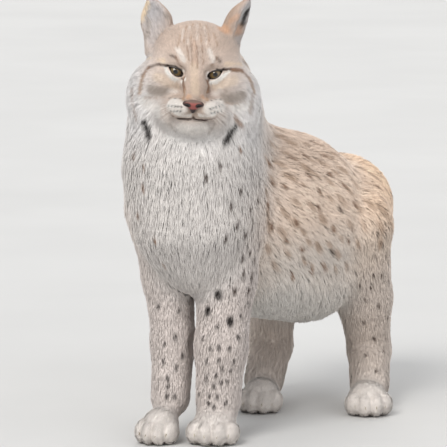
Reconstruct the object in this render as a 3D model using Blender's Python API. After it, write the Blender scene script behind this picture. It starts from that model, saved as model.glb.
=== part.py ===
"""A life-size Eurasian lynx that sits low on its haunches, forelegs straight and its face to the viewer.

Metres, +Z up, the floor at Z = 0. The chest and the face look along -Y and the animal's left side is +X.
The outer form of the coat is a smooth union of rounded limbs and ovals. It is polygonised as one closed
body and parted into nodes by thin cuts. The ears, eyes and nose are then set in the head.
"""

from math import cos, pi, radians, sin

import bmesh
import bpy
import numpy as np
from mathutils import Matrix, Vector

GAP = 0.0003  # between nodes that touch
BODY_CELL = 0.0048  # grid of the trunk and legs
HEAD_CELL = 0.0025  # grid of the head
BODY_FACES = 4400
HEAD_FACES = 3000
SIZE = 0.7  # half the side of a block that cuts all of one side away

# Trunk, a bent line of rounded sections from the chest to the rump, as (centre, radius).
TRUNK = [
    ((0.005, 0.075, 0.425), 0.124),
    ((0.080, 0.180, 0.405), 0.137),
    ((0.155, 0.285, 0.372), 0.138),
    ((0.205, 0.370, 0.341), 0.119),
    ((0.236, 0.440, 0.322), 0.110),
]
CHEST = [
    ((-0.008, 0.035, 0.565), 0.118),
    ((-0.011, 0.022, 0.480), 0.115),
    ((-0.006, 0.014, 0.390), 0.103),
    ((0.002, 0.025, 0.338), 0.080),
]
BELLY = [((0.100, 0.190, 0.290), 0.100), ((0.190, 0.320, 0.262), 0.105)]
NECK = [((0.020, 0.110, 0.530), 0.105), ((-0.002, 0.050, 0.630), 0.096)]

LEG_GAP = 0.010  # between the two forelegs
# Legs, from the trunk down, as (centre, radius). The near legs are the animal's left ones.
FORELEG = {
    "left": [
        ((0.052, 0.045, 0.400), 0.068),
        ((0.050, 0.028, 0.285), 0.053),
        ((0.041, -0.002, 0.165), 0.0455),
        ((0.036, -0.014, 0.070), 0.041),
    ],
    "right": [
        ((-0.062, 0.055, 0.400), 0.066),
        ((-0.053, 0.066, 0.285), 0.047),
        ((-0.045, 0.046, 0.165), 0.0385),
        ((-0.050, 0.018, 0.070), 0.036),
    ],
}
THIGH = {
    "left": [((0.266, 0.425, 0.360), 0.103), ((0.292, 0.295, 0.348), 0.068)],
    "right": [((0.182, 0.468, 0.335), 0.098), ((0.135, 0.340, 0.310), 0.062)],
}
SHANK = {
    "left": [
        ((0.293, 0.295, 0.335), 0.062),
        ((0.309, 0.345, 0.200), 0.052),
        ((0.320, 0.375, 0.095), 0.040),
        ((0.318, 0.290, 0.045), 0.038),
    ],
    "right": [
        ((0.135, 0.340, 0.300), 0.058),
        ((0.138, 0.385, 0.200), 0.048),
        ((0.135, 0.420, 0.095), 0.040),
        ((0.121, 0.325, 0.045), 0.038),
    ],
}
# Paws, as (centre on the floor, heading in degrees from -Y towards +X, width over the toes).
PAWS = {
    "forepaw_left": ((0.029, -0.036), -6, 0.098),
    "forepaw_right": ((-0.067, -0.028), -16, 0.080),
    "hindpaw_left": ((0.312, 0.240), 4, 0.090),
    "hindpaw_right": ((0.116, 0.270), -9, 0.088),
}
TAIL = [
    ((0.262, 0.505, 0.335), 0.046),
    ((0.288, 0.566, 0.280), 0.036),
    ((0.296, 0.588, 0.200), 0.030),
]

# Head. Its own frame has +X to the animal's right, +Y out of the face and +Z up, from between the eyes.
HEAD_AT = Vector((-0.0035, -0.060, 0.668))
HEAD_LEAN = radians(4.0)
HEAD_LIFT = radians(5.0)
EYE_AT = (0.0350, 0.0010, -0.0050)
EYE_RADIUS = 0.0155
EYE_SLANT = radians(31)
EYE_OPENING = (0.0150, 0.0088)  # half its length and half its height
NOSE_AT = (0.0, 0.0585, -0.0625)
NOSE_RADII = (0.0180, 0.0110, 0.0118)
NOSTRIL_AT = (0.0085, 0.0110, -0.0015)  # from the middle of the nose
NOSTRIL_RADII = (0.0042, 0.0040, 0.0030)
MOUTH_AT = (0.0, 0.0540, -0.0855)  # the slit between the lips
MOUTH_RADII = (0.0340, 0.0270, 0.0024)
# Ears, as (middle of the base, tip, heading of the cup in degrees from -Y towards +X).
EARS = {
    "left": ((0.061, -0.006, 0.716), (0.0935, 0.002, 0.794), 72),
    "right": ((-0.066, -0.010, 0.712), (-0.0860, 0.000, 0.801), -18),
}
EAR_WIDTH = 0.076


def head_matrix():
    """The head's frame: the face looks along -Y and a little up, and leans to the animal's left."""
    facing = Matrix.Rotation(pi, 4, "Z")
    lean = Matrix.Rotation(HEAD_LEAN, 4, "Y")
    lift = Matrix.Rotation(HEAD_LIFT, 4, "X")
    return Matrix.Translation(HEAD_AT) @ lean @ facing @ lift


def cone(points, start, end, start_radius, end_radius):
    """Distance to a limb with round ends, whose radius runs evenly from one end to the other."""
    a, b = np.array(start), np.array(end)
    along = b - a
    share = np.clip((points - a) @ along / (along @ along), 0, 1)
    nearest = a + share[:, None] * along
    radius = start_radius + share * (end_radius - start_radius)
    return np.linalg.norm(points - nearest, axis=1) - radius


def oval(points, centre, radii, turn=0.0):
    """Distance to an ellipsoid, turned about the vertical by turn degrees."""
    angle = radians(turn)
    offset = points - np.array(centre)
    x = offset[:, 0] * cos(angle) + offset[:, 1] * sin(angle)
    y = offset[:, 1] * cos(angle) - offset[:, 0] * sin(angle)
    local = np.stack([x, y, offset[:, 2]], axis=1)
    radii = np.array(radii)
    near = np.linalg.norm(local / radii, axis=1)
    steep = np.linalg.norm(local / radii**2, axis=1) + 1e-9
    return near * (near - 1) / steep


def blend(one, other, width):
    """Smooth union of two distances, rounded over width."""
    share = np.clip(0.5 + 0.5 * (other - one) / width, 0, 1)
    return other * (1 - share) + one * share - width * share * (1 - share)


def carve(solid, hole, width):
    """What is left of solid outside hole, with the edge rounded over width."""
    return -blend(-solid, hole, width)


def limb(points, sections, width=0.01):
    """A chain of cones through sections."""
    distance = None
    for (a, ra), (b, rb) in zip(sections, sections[1:]):
        piece = cone(points, a, b, ra, rb)
        distance = piece if distance is None else blend(distance, piece, width)
    return distance


def paw(points, centre, heading, width):
    """A round paw with four toes, on the floor."""
    angle = radians(heading)
    ahead = np.array((sin(angle), -cos(angle), 0.0))
    aside = np.array((cos(angle), sin(angle), 0.0))
    middle = np.array((*centre, 0.0))
    half = width / 2
    distance = oval(points, middle + (0, 0, 0.030), (half * 0.80, 0.046, 0.031), heading)
    for side, reach in ((-0.62, 0.022), (-0.23, 0.036), (0.23, 0.036), (0.62, 0.022)):
        toe = middle + ahead * reach + aside * side * half + (0, 0, 0.021)
        distance = blend(distance, oval(points, toe, (half * 0.39, 0.029, 0.0225), heading), 0.005)
    return distance


def leg(points, side):
    """The foreleg of one side with its paw."""
    distance = limb(points, FORELEG[side], 0.02)
    return blend(distance, paw(points, *PAWS["forepaw_" + side]), 0.018)


def hind(points, side):
    """The shank of one hind leg with its paw."""
    distance = limb(points, SHANK[side], 0.015)
    return blend(distance, paw(points, *PAWS["hindpaw_" + side]), 0.018)


def trunk(points):
    """The trunk, the neck and the thighs, as one rounded form."""
    distance = limb(points, TRUNK, 0.05)
    distance = blend(distance, limb(points, CHEST, 0.04), 0.035)
    distance = blend(distance, limb(points, NECK, 0.03), 0.04)
    distance = blend(distance, limb(points, BELLY, 0.03), 0.05)
    for side in ("left", "right"):
        distance = blend(distance, limb(points, THIGH[side], 0.03), 0.025)
    return distance


def head(points):
    """The head in its own frame, with the depth of its coat. The left half mirrors the right one."""
    p = points.copy()
    p[:, 0] = np.abs(p[:, 0])
    distance = oval(p, (0, -0.042, 0.020), (0.078, 0.072, 0.068))
    distance = blend(distance, oval(p, (0.018, -0.012, 0.022), (0.044, 0.032, 0.032)), 0.020)
    distance = blend(distance, oval(p, (0.054, -0.024, -0.020), (0.044, 0.040, 0.044)), 0.022)
    distance = blend(distance, oval(p, (0.074, -0.050, -0.052), (0.046, 0.040, 0.060)), 0.030)
    distance = blend(distance, oval(p, (0.020, 0.000, -0.078), (0.046, 0.046, 0.036)), 0.020)
    distance = blend(distance, cone(p, (0, 0.000, 0.006), (0, 0.043, -0.049), 0.0270, 0.0185), 0.016)
    distance = blend(distance, oval(p, (0.022, 0.036, -0.0670), (0.0265, 0.0270, 0.0205)), 0.009)
    distance = blend(distance, oval(p, (0, 0.023, -0.0940), (0.034, 0.028, 0.0210)), 0.010)
    distance = carve(distance, oval(p, (0.036, 0.022, -0.008), (0.020, 0.0080, 0.012)), 0.010)
    distance = blend(distance, oval(p, EYE_AT, (EYE_RADIUS + 0.0020,) * 3), 0.008)
    cleft = cone(p, (0, 0.068, -0.070), (0, 0.065, -0.083), 0.0026, 0.0026)
    return carve(distance, cleft, 0.004)


def skin_of_body(points):
    """Distance to the whole animal. The two legs of a pair never blend with each other."""
    middle = trunk(points)
    distance = blend(middle, limb(points, TAIL, 0.03), 0.02)
    left, right = leg(points, "left"), leg(points, "right")
    right = np.maximum(right, LEG_GAP - left)
    for one in (left, right, hind(points, "left"), hind(points, "right")):
        distance = np.minimum(distance, blend(middle, one, 0.021))
    back = np.array(head_matrix().inverted())
    local = points @ back[:3, :3].T + back[:3, 3]
    return blend(distance, head(local), 0.022)


def surface_net(distance, low, high, cell):
    """The closed surface where distance is zero, as (points, quads), from a regular grid."""
    block = 6
    low = np.array(low)
    blocks = np.ceil((np.array(high) - low) / (cell * block)).astype(int)
    size = blocks * block
    corner = np.indices(blocks).reshape(3, -1).T * block
    rough = distance(low + cell * (corner + block / 2))
    near = np.abs(rough) < cell * block * 1.1
    grid = rough.reshape(blocks)
    for axis in range(3):
        grid = np.repeat(grid, block, axis)
    within = np.indices((block,) * 3).reshape(3, -1).T
    index = (corner[near][:, None] + within[None]).reshape(-1, 3)
    grid[tuple(index.T)] = distance(low + cell * index)
    inside = grid < 0
    cells, places, quads = [], [], []
    for axis in range(3):
        unit, side, up = np.roll(np.eye(3, dtype=int), -axis, axis=0)
        here = np.take(inside, range(size[axis] - 1), axis)
        there = np.take(inside, range(1, size[axis]), axis)
        at = np.argwhere(here != there)
        start, end = grid[tuple(at.T)], grid[tuple((at + unit).T)]
        crossing = low + cell * (at + (start / (start - end))[:, None] * unit)
        around = [at, at - side, at - side - up, at - up]
        codes = np.stack([np.ravel_multi_index(a.T, size) for a in around], 1)
        codes[start > 0] = codes[start > 0][:, ::-1]
        quads.append(codes)
        cells.append(codes.reshape(-1))
        places.append(np.repeat(crossing, 4, axis=0))
    codes, number = np.unique(np.concatenate(cells), return_inverse=True)
    places = np.concatenate(places)
    counts = np.bincount(number)
    points = np.stack([np.bincount(number, places[:, k]) / counts for k in range(3)], 1)
    return points, np.searchsorted(codes, np.concatenate(quads))


def add_object(name, mesh):
    """A new object in the scene that holds mesh."""
    made = bpy.data.objects.new(name, mesh)
    bpy.context.scene.collection.objects.link(made)
    return made


def net_object(name, distance, low, high, cell, faces):
    """The surface where distance is zero within a box, with about as many triangles as faces."""
    points, quads = surface_net(distance, low, high, cell)
    mesh = bpy.data.meshes.new(name)
    mesh.from_pydata(points.tolist(), [], quads.tolist())
    made = add_object(name, mesh)
    fewer = made.modifiers.new("fewer", "DECIMATE")
    fewer.ratio = faces / (2 * len(quads))
    return applied(made)


def applied(made):
    """The object with its modifiers applied to its own mesh."""
    bpy.context.view_layer.update()
    graph = bpy.context.evaluated_depsgraph_get()
    mesh = bpy.data.meshes.new_from_object(made.evaluated_get(graph))
    made.modifiers.clear()
    made.data = mesh
    return made


def block(centre, normal, size):
    """A box as a cutter, whose own Z runs along normal. size is its full X, Y and Z."""
    turn = Vector(normal).to_track_quat("Z", "Y").to_matrix().to_4x4()
    bm = bmesh.new()
    bmesh.ops.create_cube(bm, size=1.0, matrix=Matrix.Diagonal((*size, 1.0)))
    mesh = bpy.data.meshes.new("block")
    bm.to_mesh(mesh)
    bm.free()
    mesh.transform(Matrix.Translation(centre) @ turn)
    return add_object("block", mesh)


def join_by(target, tools, operation, solver="EXACT"):
    """One Boolean of target with a list of closed objects, which are then removed."""
    group = bpy.data.collections.new("tools")
    bpy.context.scene.collection.children.link(group)
    for tool in tools:
        group.objects.link(tool)
    cut = target.modifiers.new("cut", "BOOLEAN")
    cut.operation = operation
    cut.operand_type = "COLLECTION"
    cut.collection = group
    cut.solver = solver
    applied(target)
    for tool in tools:
        bpy.data.objects.remove(tool)
    bpy.data.collections.remove(group)
    return target


def loose_parts(source):
    """The closed surfaces of one object, each as a list of faces, largest first."""
    bm = bmesh.new()
    bm.from_mesh(source.data)
    bm.faces.ensure_lookup_table()
    seen, parts = set(), []
    for first in bm.faces:
        if first.index in seen:
            continue
        seen.add(first.index)
        stack, found = [first], []
        while stack:
            face = stack.pop()
            found.append(face.index)
            for edge in face.edges:
                for other in edge.link_faces:
                    if other.index not in seen:
                        seen.add(other.index)
                        stack.append(other)
        parts.append(found)
    bm.free()
    return sorted(parts, key=len, reverse=True)


def keep_largest(made):
    """The object with only its largest closed surface."""
    parts = loose_parts(made)
    if len(parts) > 1:
        kept = part_object("kept", made, parts[0])
        made.data = kept.data
        bpy.data.objects.remove(kept)
    return made


def grown(source):
    """A closed copy of source, as a cutter, larger by GAP all round."""
    mesh = source.data.copy()
    normals = [Vector(v.normal) for v in mesh.vertices]
    for vertex, normal in zip(mesh.vertices, normals):
        vertex.co += normal * GAP * 1.3
    return add_object("grown", mesh)


def reach(start, heading):
    """Where a line from outside meets the animal's surface, with the surface's normal there."""
    place, heading = np.array(start, float), np.array(heading, float)
    heading /= np.linalg.norm(heading)
    for _ in range(60):
        place = place + heading * skin_of_body(place[None])[0] * 0.8
    around = place + 0.002 * np.concatenate([np.eye(3), -np.eye(3)])
    slopes = skin_of_body(around)
    normal = slopes[:3] - slopes[3:]
    return Vector(place), Vector(normal).normalized()


def lock(root, normal, lie, length, width, lift):
    """A flat tapered lock of the coat, sunk in at its root, that lies along lie and lifts towards its tip."""
    along = (lie - normal * lie.dot(normal)).normalized()
    side = normal.cross(along)
    bm = bmesh.new()
    rings = []
    for share, height, half in ((-0.10, -0.008, 0.30), (0.25, 0.002, 0.52), (0.65, 0.45 * lift, 0.34)):
        middle = root + along * length * share + normal * height
        across, up = side * width * half, normal * width * half * 0.45
        rings.append([bm.verts.new(middle + part) for part in (across, up, -across, -up)])
    tip = bm.verts.new(root + along * length + normal * lift)
    bm.faces.new(reversed(rings[0]))
    for one, other in zip(rings, rings[1:]):
        for i in range(4):
            j = (i + 1) % 4
            bm.faces.new((one[i], one[j], other[j], other[i]))
    for i in range(4):
        bm.faces.new((rings[-1][i], rings[-1][(i + 1) % 4], tip))
    bmesh.ops.recalc_face_normals(bm, faces=bm.faces)
    bmesh.ops.triangulate(bm, faces=bm.faces)
    mesh = bpy.data.meshes.new("lock")
    bm.to_mesh(mesh)
    bm.free()
    return add_object("lock", mesh)


def bib_locks(rows, reach_aside, draw):
    """Locks of the bib, in rows over the chest. A row is (height, length, count)."""
    made = []
    for height, length, count in rows:
        for i in range(count):
            turn = radians(reach_aside * (2 * (i + 0.5) / count - 1) + draw.uniform(-4, 4))
            out = Vector((sin(turn), -cos(turn), 0))
            root, normal = reach(Vector((-0.010, 0.030, height + draw.uniform(-0.006, 0.006))) + out * 0.25, -out)
            lie = Vector((0.12 * sin(turn), 0, -1))
            made.append(lock(root, normal, lie, length * draw.uniform(0.85, 1.1), 0.030, 0.009))
    return made


def belly_locks(draw):
    """Locks that hang along both lower edges of the belly."""
    made = []
    for side, count, end in ((1, 6, 0.52), (-1, 5, 0.45)):
        for i in range(count):
            share = end * (i + 0.5) / count
            middle = Vector((0.085 + 0.115 * share, 0.150 + 0.190 * share, 0.260))
            out = Vector((0.84 * side, -0.54 * side, -1.1))
            root, normal = reach(middle + out * 0.25, -out)
            lie = Vector((0.15 * side, 0.25, -1))
            made.append(lock(root, normal, lie, 0.066 * draw.uniform(0.85, 1.15), 0.032, 0.006))
    return made


def ruff_locks(draw):
    """Locks of the ruff, from below each ear round to the sides of the chin."""
    made = []
    frame = head_matrix()
    turn = frame.to_3x3()
    for side in (-1, 1):
        for i in range(9):
            share = i / 8
            out = turn @ Vector((side * (1 - 0.75 * share), 0.25 + 0.6 * share, -0.15 - 0.45 * share)).normalized()
            middle = frame @ Vector((side * 0.040 * (1 - share), -0.050 + 0.030 * share, -0.050))
            root, normal = reach(middle + out * 0.16, -out)
            lie = turn @ Vector((side * 0.30 * (1 - share), -0.15, -1))
            made.append(lock(root, normal, lie, 0.052 * draw.uniform(0.85, 1.15), 0.027, 0.012))
    return made


def tuft_locks(side):
    """The long black hairs at an ear's tip, as three locks."""
    length = (Vector(EARS[side][1]) - Vector(EARS[side][0])).length
    frame = ear_matrix(side)
    turn = frame.to_3x3()
    root = frame @ Vector((0, 0.005, length - 0.014))
    made = []
    for lean, longer in ((-0.10, 0.050), (0.0, 0.057), (0.12, 0.047)):
        made.append(lock(root, turn @ Vector((0, 1, 0)), turn @ Vector((lean, 0, 1)), longer, 0.0085, 0.001))
    return made


def part_object(name, source, faces):
    """A new object with these faces of source."""
    old = source.data
    used = sorted({v for f in faces for v in old.polygons[f].vertices})
    number = {v: i for i, v in enumerate(used)}
    mesh = bpy.data.meshes.new(name)
    corners = [[number[v] for v in old.polygons[f].vertices] for f in faces]
    mesh.from_pydata([old.vertices[v].co for v in used], [], corners)
    return add_object(name, mesh)


def shell(centre, radii, turn):
    """A closed oval shell as thick as GAP, which parts a rounded haunch from the trunk."""
    bm = bmesh.new()
    for grown, inward in ((GAP, False), (0.0, True)):
        made = bmesh.ops.create_uvsphere(bm, u_segments=24, v_segments=16, radius=1.0)
        scale = Matrix.Diagonal([r + grown for r in radii])
        bmesh.ops.transform(bm, matrix=scale.to_4x4(), verts=made["verts"])
        if inward:
            faces = list({f for v in made["verts"] for f in v.link_faces})
            bmesh.ops.reverse_faces(bm, faces=faces)
    mesh = bpy.data.meshes.new("shell")
    bm.to_mesh(mesh)
    bm.free()
    mesh.transform(Matrix.Translation(centre) @ Matrix.Rotation(radians(turn), 4, "Z"))
    return add_object("shell", mesh)


# Where the head leaves the neck: a plane under the jaw and behind the crown.
NAPE_AT = Vector((0.0, -0.020, 0.612))
NAPE_NORMAL = Vector((0.0, -1.0, 1.0)).normalized()
# Thin flat cuts, as (centre, normal, width across, height across).
CUTS = [
    ((0.0, 0.0, 0.500), (0.0, -0.55, 0.84), 0.5, 0.5),
    ((0.047, 0.015, 0.224), (0.0, 0.22, 0.97), 0.110, 0.13),
    ((-0.052, 0.058, 0.224), (0.0, 0.16, 0.98), 0.098, 0.12),
    ((-0.005, 0.005, 0.068), (0.0, 0.0, 1.0), 0.24, 0.21),
    ((0.318, 0.286, 0.050), (0.0, -0.90, -0.10), 0.12, 0.14),
    ((0.2834, 0.5547, 0.290), (0.30, 0.71, -0.64), 0.16, 0.16),
]
# Thin oval cuts round the hind legs, as (centre, radii, turn in degrees).
HAUNCHES = [
    ((0.358, 0.310, 0.120), (0.157, 0.170, 0.320), -33),
    ((0.087, 0.479, 0.120), (0.157, 0.170, 0.320), -33),
]
# The middle of each node of the body, by which the parts are told apart.
MIDDLES = {
    "neck": (0.0, 0.02, 0.58),
    "torso": (0.12, 0.22, 0.36),
    "foreleg_left": (0.040, 0.01, 0.15),
    "foreleg_right": (-0.040, 0.05, 0.15),
    "forepaw_left": (0.028, -0.034, 0.03),
    "forepaw_right": (-0.064, 0.000, 0.03),
    "hindleg_left": (0.310, 0.36, 0.24),
    "hindleg_right": (0.140, 0.40, 0.24),
    "hindpaw_left": (0.312, 0.240, 0.03),
    "hindpaw_right": (0.116, 0.280, 0.03),
    "tail": (0.290, 0.57, 0.24),
}


def body_nodes():
    """The neck, the trunk, the legs, the paws and the tail."""
    low, high = (-0.17, -0.16, -0.03), (0.42, 0.66, 0.80)
    whole = net_object("whole", skin_of_body, low, high, BODY_CELL, BODY_FACES)
    over = NAPE_AT + NAPE_NORMAL * (SIZE / 2 - GAP / 2)
    under = Vector((0, 0, -SIZE / 2))
    away = [block(over, NAPE_NORMAL, (SIZE, SIZE, SIZE)), block(under, (0, 0, 1), (SIZE * 3, SIZE * 3, SIZE))]
    join_by(whole, away, "DIFFERENCE")
    tools = [block(c, n, (wide, high, GAP)) for c, n, wide, high in CUTS]
    join_by(whole, tools + [shell(*haunch) for haunch in HAUNCHES], "DIFFERENCE")
    for faces in loose_parts(whole):
        centre = sum((whole.data.polygons[f].center for f in faces), Vector()) / len(faces)
        name = min(MIDDLES, key=lambda node: (Vector(MIDDLES[node]) - centre).length)
        if name not in bpy.data.objects:
            part_object(name, whole, faces)
    bpy.data.objects.remove(whole)
    draw = np.random.default_rng(7)
    carried = {
        "neck": bib_locks(((0.545, 0.050, 7),), 62, draw),
        "torso": bib_locks(((0.415, 0.060, 8), (0.360, 0.060, 7), (0.315, 0.055, 6)), 75, draw) + belly_locks(draw),
    }
    for name, locks in carried.items():
        keep_largest(join_by(bpy.data.objects[name], locks, "UNION"))


def head_piece(points):
    """Distance to the animal's surface in front of a plane a little behind the head's own cut."""
    behind = (points - np.array(NAPE_AT)) @ -np.array(NAPE_NORMAL) - 0.01
    return np.maximum(skin_of_body(points), behind)


def oval_object(name, centre, radii, grown=0.0, segments=18):
    """An ellipsoid in the head's frame, with each radius grown."""
    bm = bmesh.new()
    bmesh.ops.create_uvsphere(bm, u_segments=segments, v_segments=segments // 2, radius=1.0)
    mesh = bpy.data.meshes.new(name)
    bm.to_mesh(mesh)
    bm.free()
    mesh.transform(Matrix.Diagonal([*(r + grown for r in radii), 1.0]))
    mesh.transform(head_matrix() @ Matrix.Translation(centre))
    return add_object(name, mesh)


def almond(side):
    """A cutter for the opening between the lids of one eye, from inside the eyeball outwards."""
    half, tall = EYE_OPENING
    steps = 12
    outline = [(half * cos(pi * i / steps), tall * sin(pi * i / steps) ** 1.2) for i in range(steps)]
    outline += [(-x, -0.8 * z) for x, z in outline]
    bm = bmesh.new()
    rings = [[bm.verts.new((x, y, z)) for x, z in outline] for y in (0.004, 0.040)]
    count = len(outline)
    for i in range(count):
        j = (i + 1) % count
        bm.faces.new((rings[0][i], rings[0][j], rings[1][j], rings[1][i]))
    bm.faces.new(rings[0])
    bm.faces.new(rings[1])
    bmesh.ops.recalc_face_normals(bm, faces=bm.faces)
    mesh = bpy.data.meshes.new("almond")
    bm.to_mesh(mesh)
    bm.free()
    place = Matrix.Translation((side * EYE_AT[0], EYE_AT[1], EYE_AT[2]))
    mesh.transform(head_matrix() @ place @ Matrix.Rotation(-side * EYE_SLANT, 4, "Y"))
    return add_object("almond", mesh)


def ear_matrix(side):
    """An ear's frame: +Z from its base to its tip and -Y out of its cup."""
    base, tip, heading = (Vector(EARS[side][0]), Vector(EARS[side][1]), radians(EARS[side][2]))
    up = (tip - base).normalized()
    out = Vector((sin(heading), -cos(heading), 0))
    across = -out.cross(up).normalized()
    out = -up.cross(across)
    turn = Matrix((across, up.cross(across), up)).transposed()
    return Matrix.Translation(base) @ turn.to_4x4()


def ear(points, length):
    """Distance to an ear in its own frame, a pointed leaf with a cup in its front."""
    flat = points * np.array((1.0, 1.45, 1.0))
    half = EAR_WIDTH / 2
    leaf = limb(flat, [((0, 0.010, -0.010), half - 0.006), ((0, 0.006, length * 0.45), half * 0.62),
                       ((0, 0.004, length - 0.004), 0.0035)], 0.020)
    cup = limb(flat, [((0, -0.026, 0.012), half - 0.010), ((0, -0.018, length * 0.50), half * 0.58),
                      ((0, -0.010, length * 0.90), 0.0040)], 0.020)
    return carve(leaf, cup, 0.004) / 1.2


def ear_node(side):
    """An ear with its cup, its foot sunk in the head."""
    name = "ear_" + side
    length = (Vector(EARS[side][1]) - Vector(EARS[side][0])).length
    made = net_object(name, lambda p: ear(p, length), (-0.05, -0.06, -0.05), (0.05, 0.05, 0.11), 0.0025, 480)
    made.data.transform(ear_matrix(side))
    return keep_largest(join_by(made, tuft_locks(side), "UNION"))


def head_nodes():
    """The head, the ears, the eyes and the nose."""
    made = net_object("head", head_piece, (-0.17, -0.17, 0.49), (0.16, 0.13, 0.80), HEAD_CELL, HEAD_FACES)
    under = NAPE_AT - NAPE_NORMAL * (SIZE / 2 - GAP / 2)
    tools = [block(under, NAPE_NORMAL, (SIZE, SIZE, SIZE))]
    ball = (EYE_RADIUS,) * 3
    for name, side in (("left", -1), ("right", 1)):
        centre = (side * EYE_AT[0], EYE_AT[1], EYE_AT[2])
        oval_object("eye_" + name, centre, ball)
        tools.append(oval_object("socket", centre, ball, GAP))
    nose = oval_object("nose", NOSE_AT, NOSE_RADII)
    tools.append(oval_object("seat", NOSE_AT, NOSE_RADII, GAP))
    tools.append(oval_object("mouth", MOUTH_AT, MOUTH_RADII))
    nostrils = []
    for side in (-1, 1):
        place = Vector(NOSE_AT) + Vector((side * NOSTRIL_AT[0], *NOSTRIL_AT[1:]))
        nostrils.append(oval_object("nostril", place, NOSTRIL_RADII, 0, 8))
    join_by(nose, nostrils, "DIFFERENCE")
    join_by(made, tools, "DIFFERENCE")
    join_by(made, [almond(-1), almond(1)], "DIFFERENCE")
    join_by(made, [grown(ear_node(side)) for side in EARS], "DIFFERENCE")
    keep_largest(join_by(made, ruff_locks(np.random.default_rng(3)), "UNION", "MANIFOLD"))
    neck = bpy.data.objects["neck"]
    keep_largest(join_by(neck, [grown(made)], "DIFFERENCE", "MANIFOLD"))


# Finish of each node, as (linear colour, roughness).
COAT = ((0.52, 0.44, 0.36), 0.85)
PALE_COAT = ((0.66, 0.62, 0.56), 0.85)
WARM_COAT = ((0.58, 0.42, 0.30), 0.85)
LOOKS = {
    "eye_left": ((0.110, 0.095, 0.035), 0.08),
    "eye_right": ((0.110, 0.095, 0.035), 0.08),
    "nose": ((0.36, 0.13, 0.11), 0.45),
    "ear_left": WARM_COAT,
    "ear_right": WARM_COAT,
    "head": COAT,
    "torso": COAT,
    "hindleg_left": WARM_COAT,
    "hindleg_right": WARM_COAT,
}


def finish(made):
    """Smooth shading and the node's own material."""
    colour, roughness = LOOKS.get(made.name, PALE_COAT)
    material = bpy.data.materials.new(made.name)
    material.use_nodes = True
    shader = material.node_tree.nodes["Principled BSDF"]
    shader.inputs["Base Color"].default_value = (*colour, 1.0)
    shader.inputs["Roughness"].default_value = roughness
    shader.inputs["Metallic"].default_value = 0.0
    made.data.materials.clear()
    made.data.materials.append(material)
    made.data.shade_smooth()
    made.data.set_sharp_from_angle(angle=radians(50))


def main():
    for old in list(bpy.data.objects):
        bpy.data.objects.remove(old)
    body_nodes()
    head_nodes()
    nodes = list(bpy.data.objects)
    corners = np.array([v.co for node in nodes for v in node.data.vertices])
    middle = (corners.min(axis=0) + corners.max(axis=0)) / 2
    shift = Matrix.Translation((-middle[0], -middle[1], 0.0))
    for node in nodes:
        node.data.transform(shift)
        finish(node)
    return shift.translation


SHIFT = main()
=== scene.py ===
"""The looks of a life-size Eurasian lynx: its skin, coat, eyes, nose, lips, whiskers, pads and claws.

Metres, +Z up, the floor at Z = 0. The face looks along -Y and the animal's left side is +X. Sizes are in the
frame in which the solids are drawn, with the forelegs near the origin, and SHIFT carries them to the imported
model. The skin repeats the solids' smooth union on a finer grid and lies inside it by the depth of the coat.
The coat is made of closed, tapered tufts that reach from the skin out to the solids' own surface.
"""

from itertools import product
from math import cos, pi, radians, sin

import bmesh
import bpy
import numpy as np
from mathutils import Matrix, Vector
from mathutils.bvhtree import BVHTree
from mathutils.kdtree import KDTree


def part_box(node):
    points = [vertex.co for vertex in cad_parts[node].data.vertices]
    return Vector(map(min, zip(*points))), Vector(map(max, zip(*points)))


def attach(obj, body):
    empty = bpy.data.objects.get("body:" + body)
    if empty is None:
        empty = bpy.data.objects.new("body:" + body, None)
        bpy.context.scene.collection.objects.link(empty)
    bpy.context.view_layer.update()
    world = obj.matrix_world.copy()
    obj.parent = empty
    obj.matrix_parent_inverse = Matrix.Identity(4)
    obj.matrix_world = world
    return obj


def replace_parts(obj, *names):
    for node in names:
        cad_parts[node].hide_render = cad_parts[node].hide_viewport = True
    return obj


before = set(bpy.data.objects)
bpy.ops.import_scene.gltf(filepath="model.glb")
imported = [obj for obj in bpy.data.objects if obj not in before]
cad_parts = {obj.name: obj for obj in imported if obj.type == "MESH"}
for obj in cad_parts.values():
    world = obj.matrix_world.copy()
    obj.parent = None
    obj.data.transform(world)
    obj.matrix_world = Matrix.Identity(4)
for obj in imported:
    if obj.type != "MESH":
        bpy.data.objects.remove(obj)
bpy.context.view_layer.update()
FLESH = [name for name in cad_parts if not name.startswith("eye") and name != "nose"]
SIDES = {"left": -1, "right": 1}  # with the sign of each side in the head's own frame
FAR = 0.2  # a distance at which nothing blends

# Trunk and neck, as bent lines of rounded sections (centre, radius).
TRUNK = [
    ((0.005, 0.075, 0.425), 0.124),
    ((0.080, 0.180, 0.405), 0.137),
    ((0.155, 0.285, 0.372), 0.138),
    ((0.205, 0.370, 0.341), 0.119),
    ((0.236, 0.440, 0.322), 0.110),
]
CHEST = [
    ((-0.008, 0.035, 0.565), 0.118),
    ((-0.011, 0.022, 0.480), 0.115),
    ((-0.006, 0.014, 0.390), 0.103),
    ((0.002, 0.025, 0.338), 0.080),
]
BELLY = [((0.100, 0.190, 0.290), 0.100), ((0.190, 0.320, 0.262), 0.105)]
NECK = [((0.020, 0.110, 0.530), 0.105), ((-0.002, 0.050, 0.630), 0.096)]
LEG_GAP = 0.010  # between the two forelegs
FORELEG = {
    "left": [
        ((0.052, 0.045, 0.400), 0.068),
        ((0.050, 0.028, 0.285), 0.053),
        ((0.041, -0.002, 0.165), 0.0455),
        ((0.036, -0.014, 0.070), 0.041),
    ],
    "right": [
        ((-0.062, 0.055, 0.400), 0.066),
        ((-0.053, 0.066, 0.285), 0.047),
        ((-0.045, 0.046, 0.165), 0.0385),
        ((-0.050, 0.018, 0.070), 0.036),
    ],
}
THIGH = {
    "left": [((0.266, 0.425, 0.360), 0.103), ((0.292, 0.295, 0.348), 0.068)],
    "right": [((0.182, 0.468, 0.335), 0.098), ((0.135, 0.340, 0.310), 0.062)],
}
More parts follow.
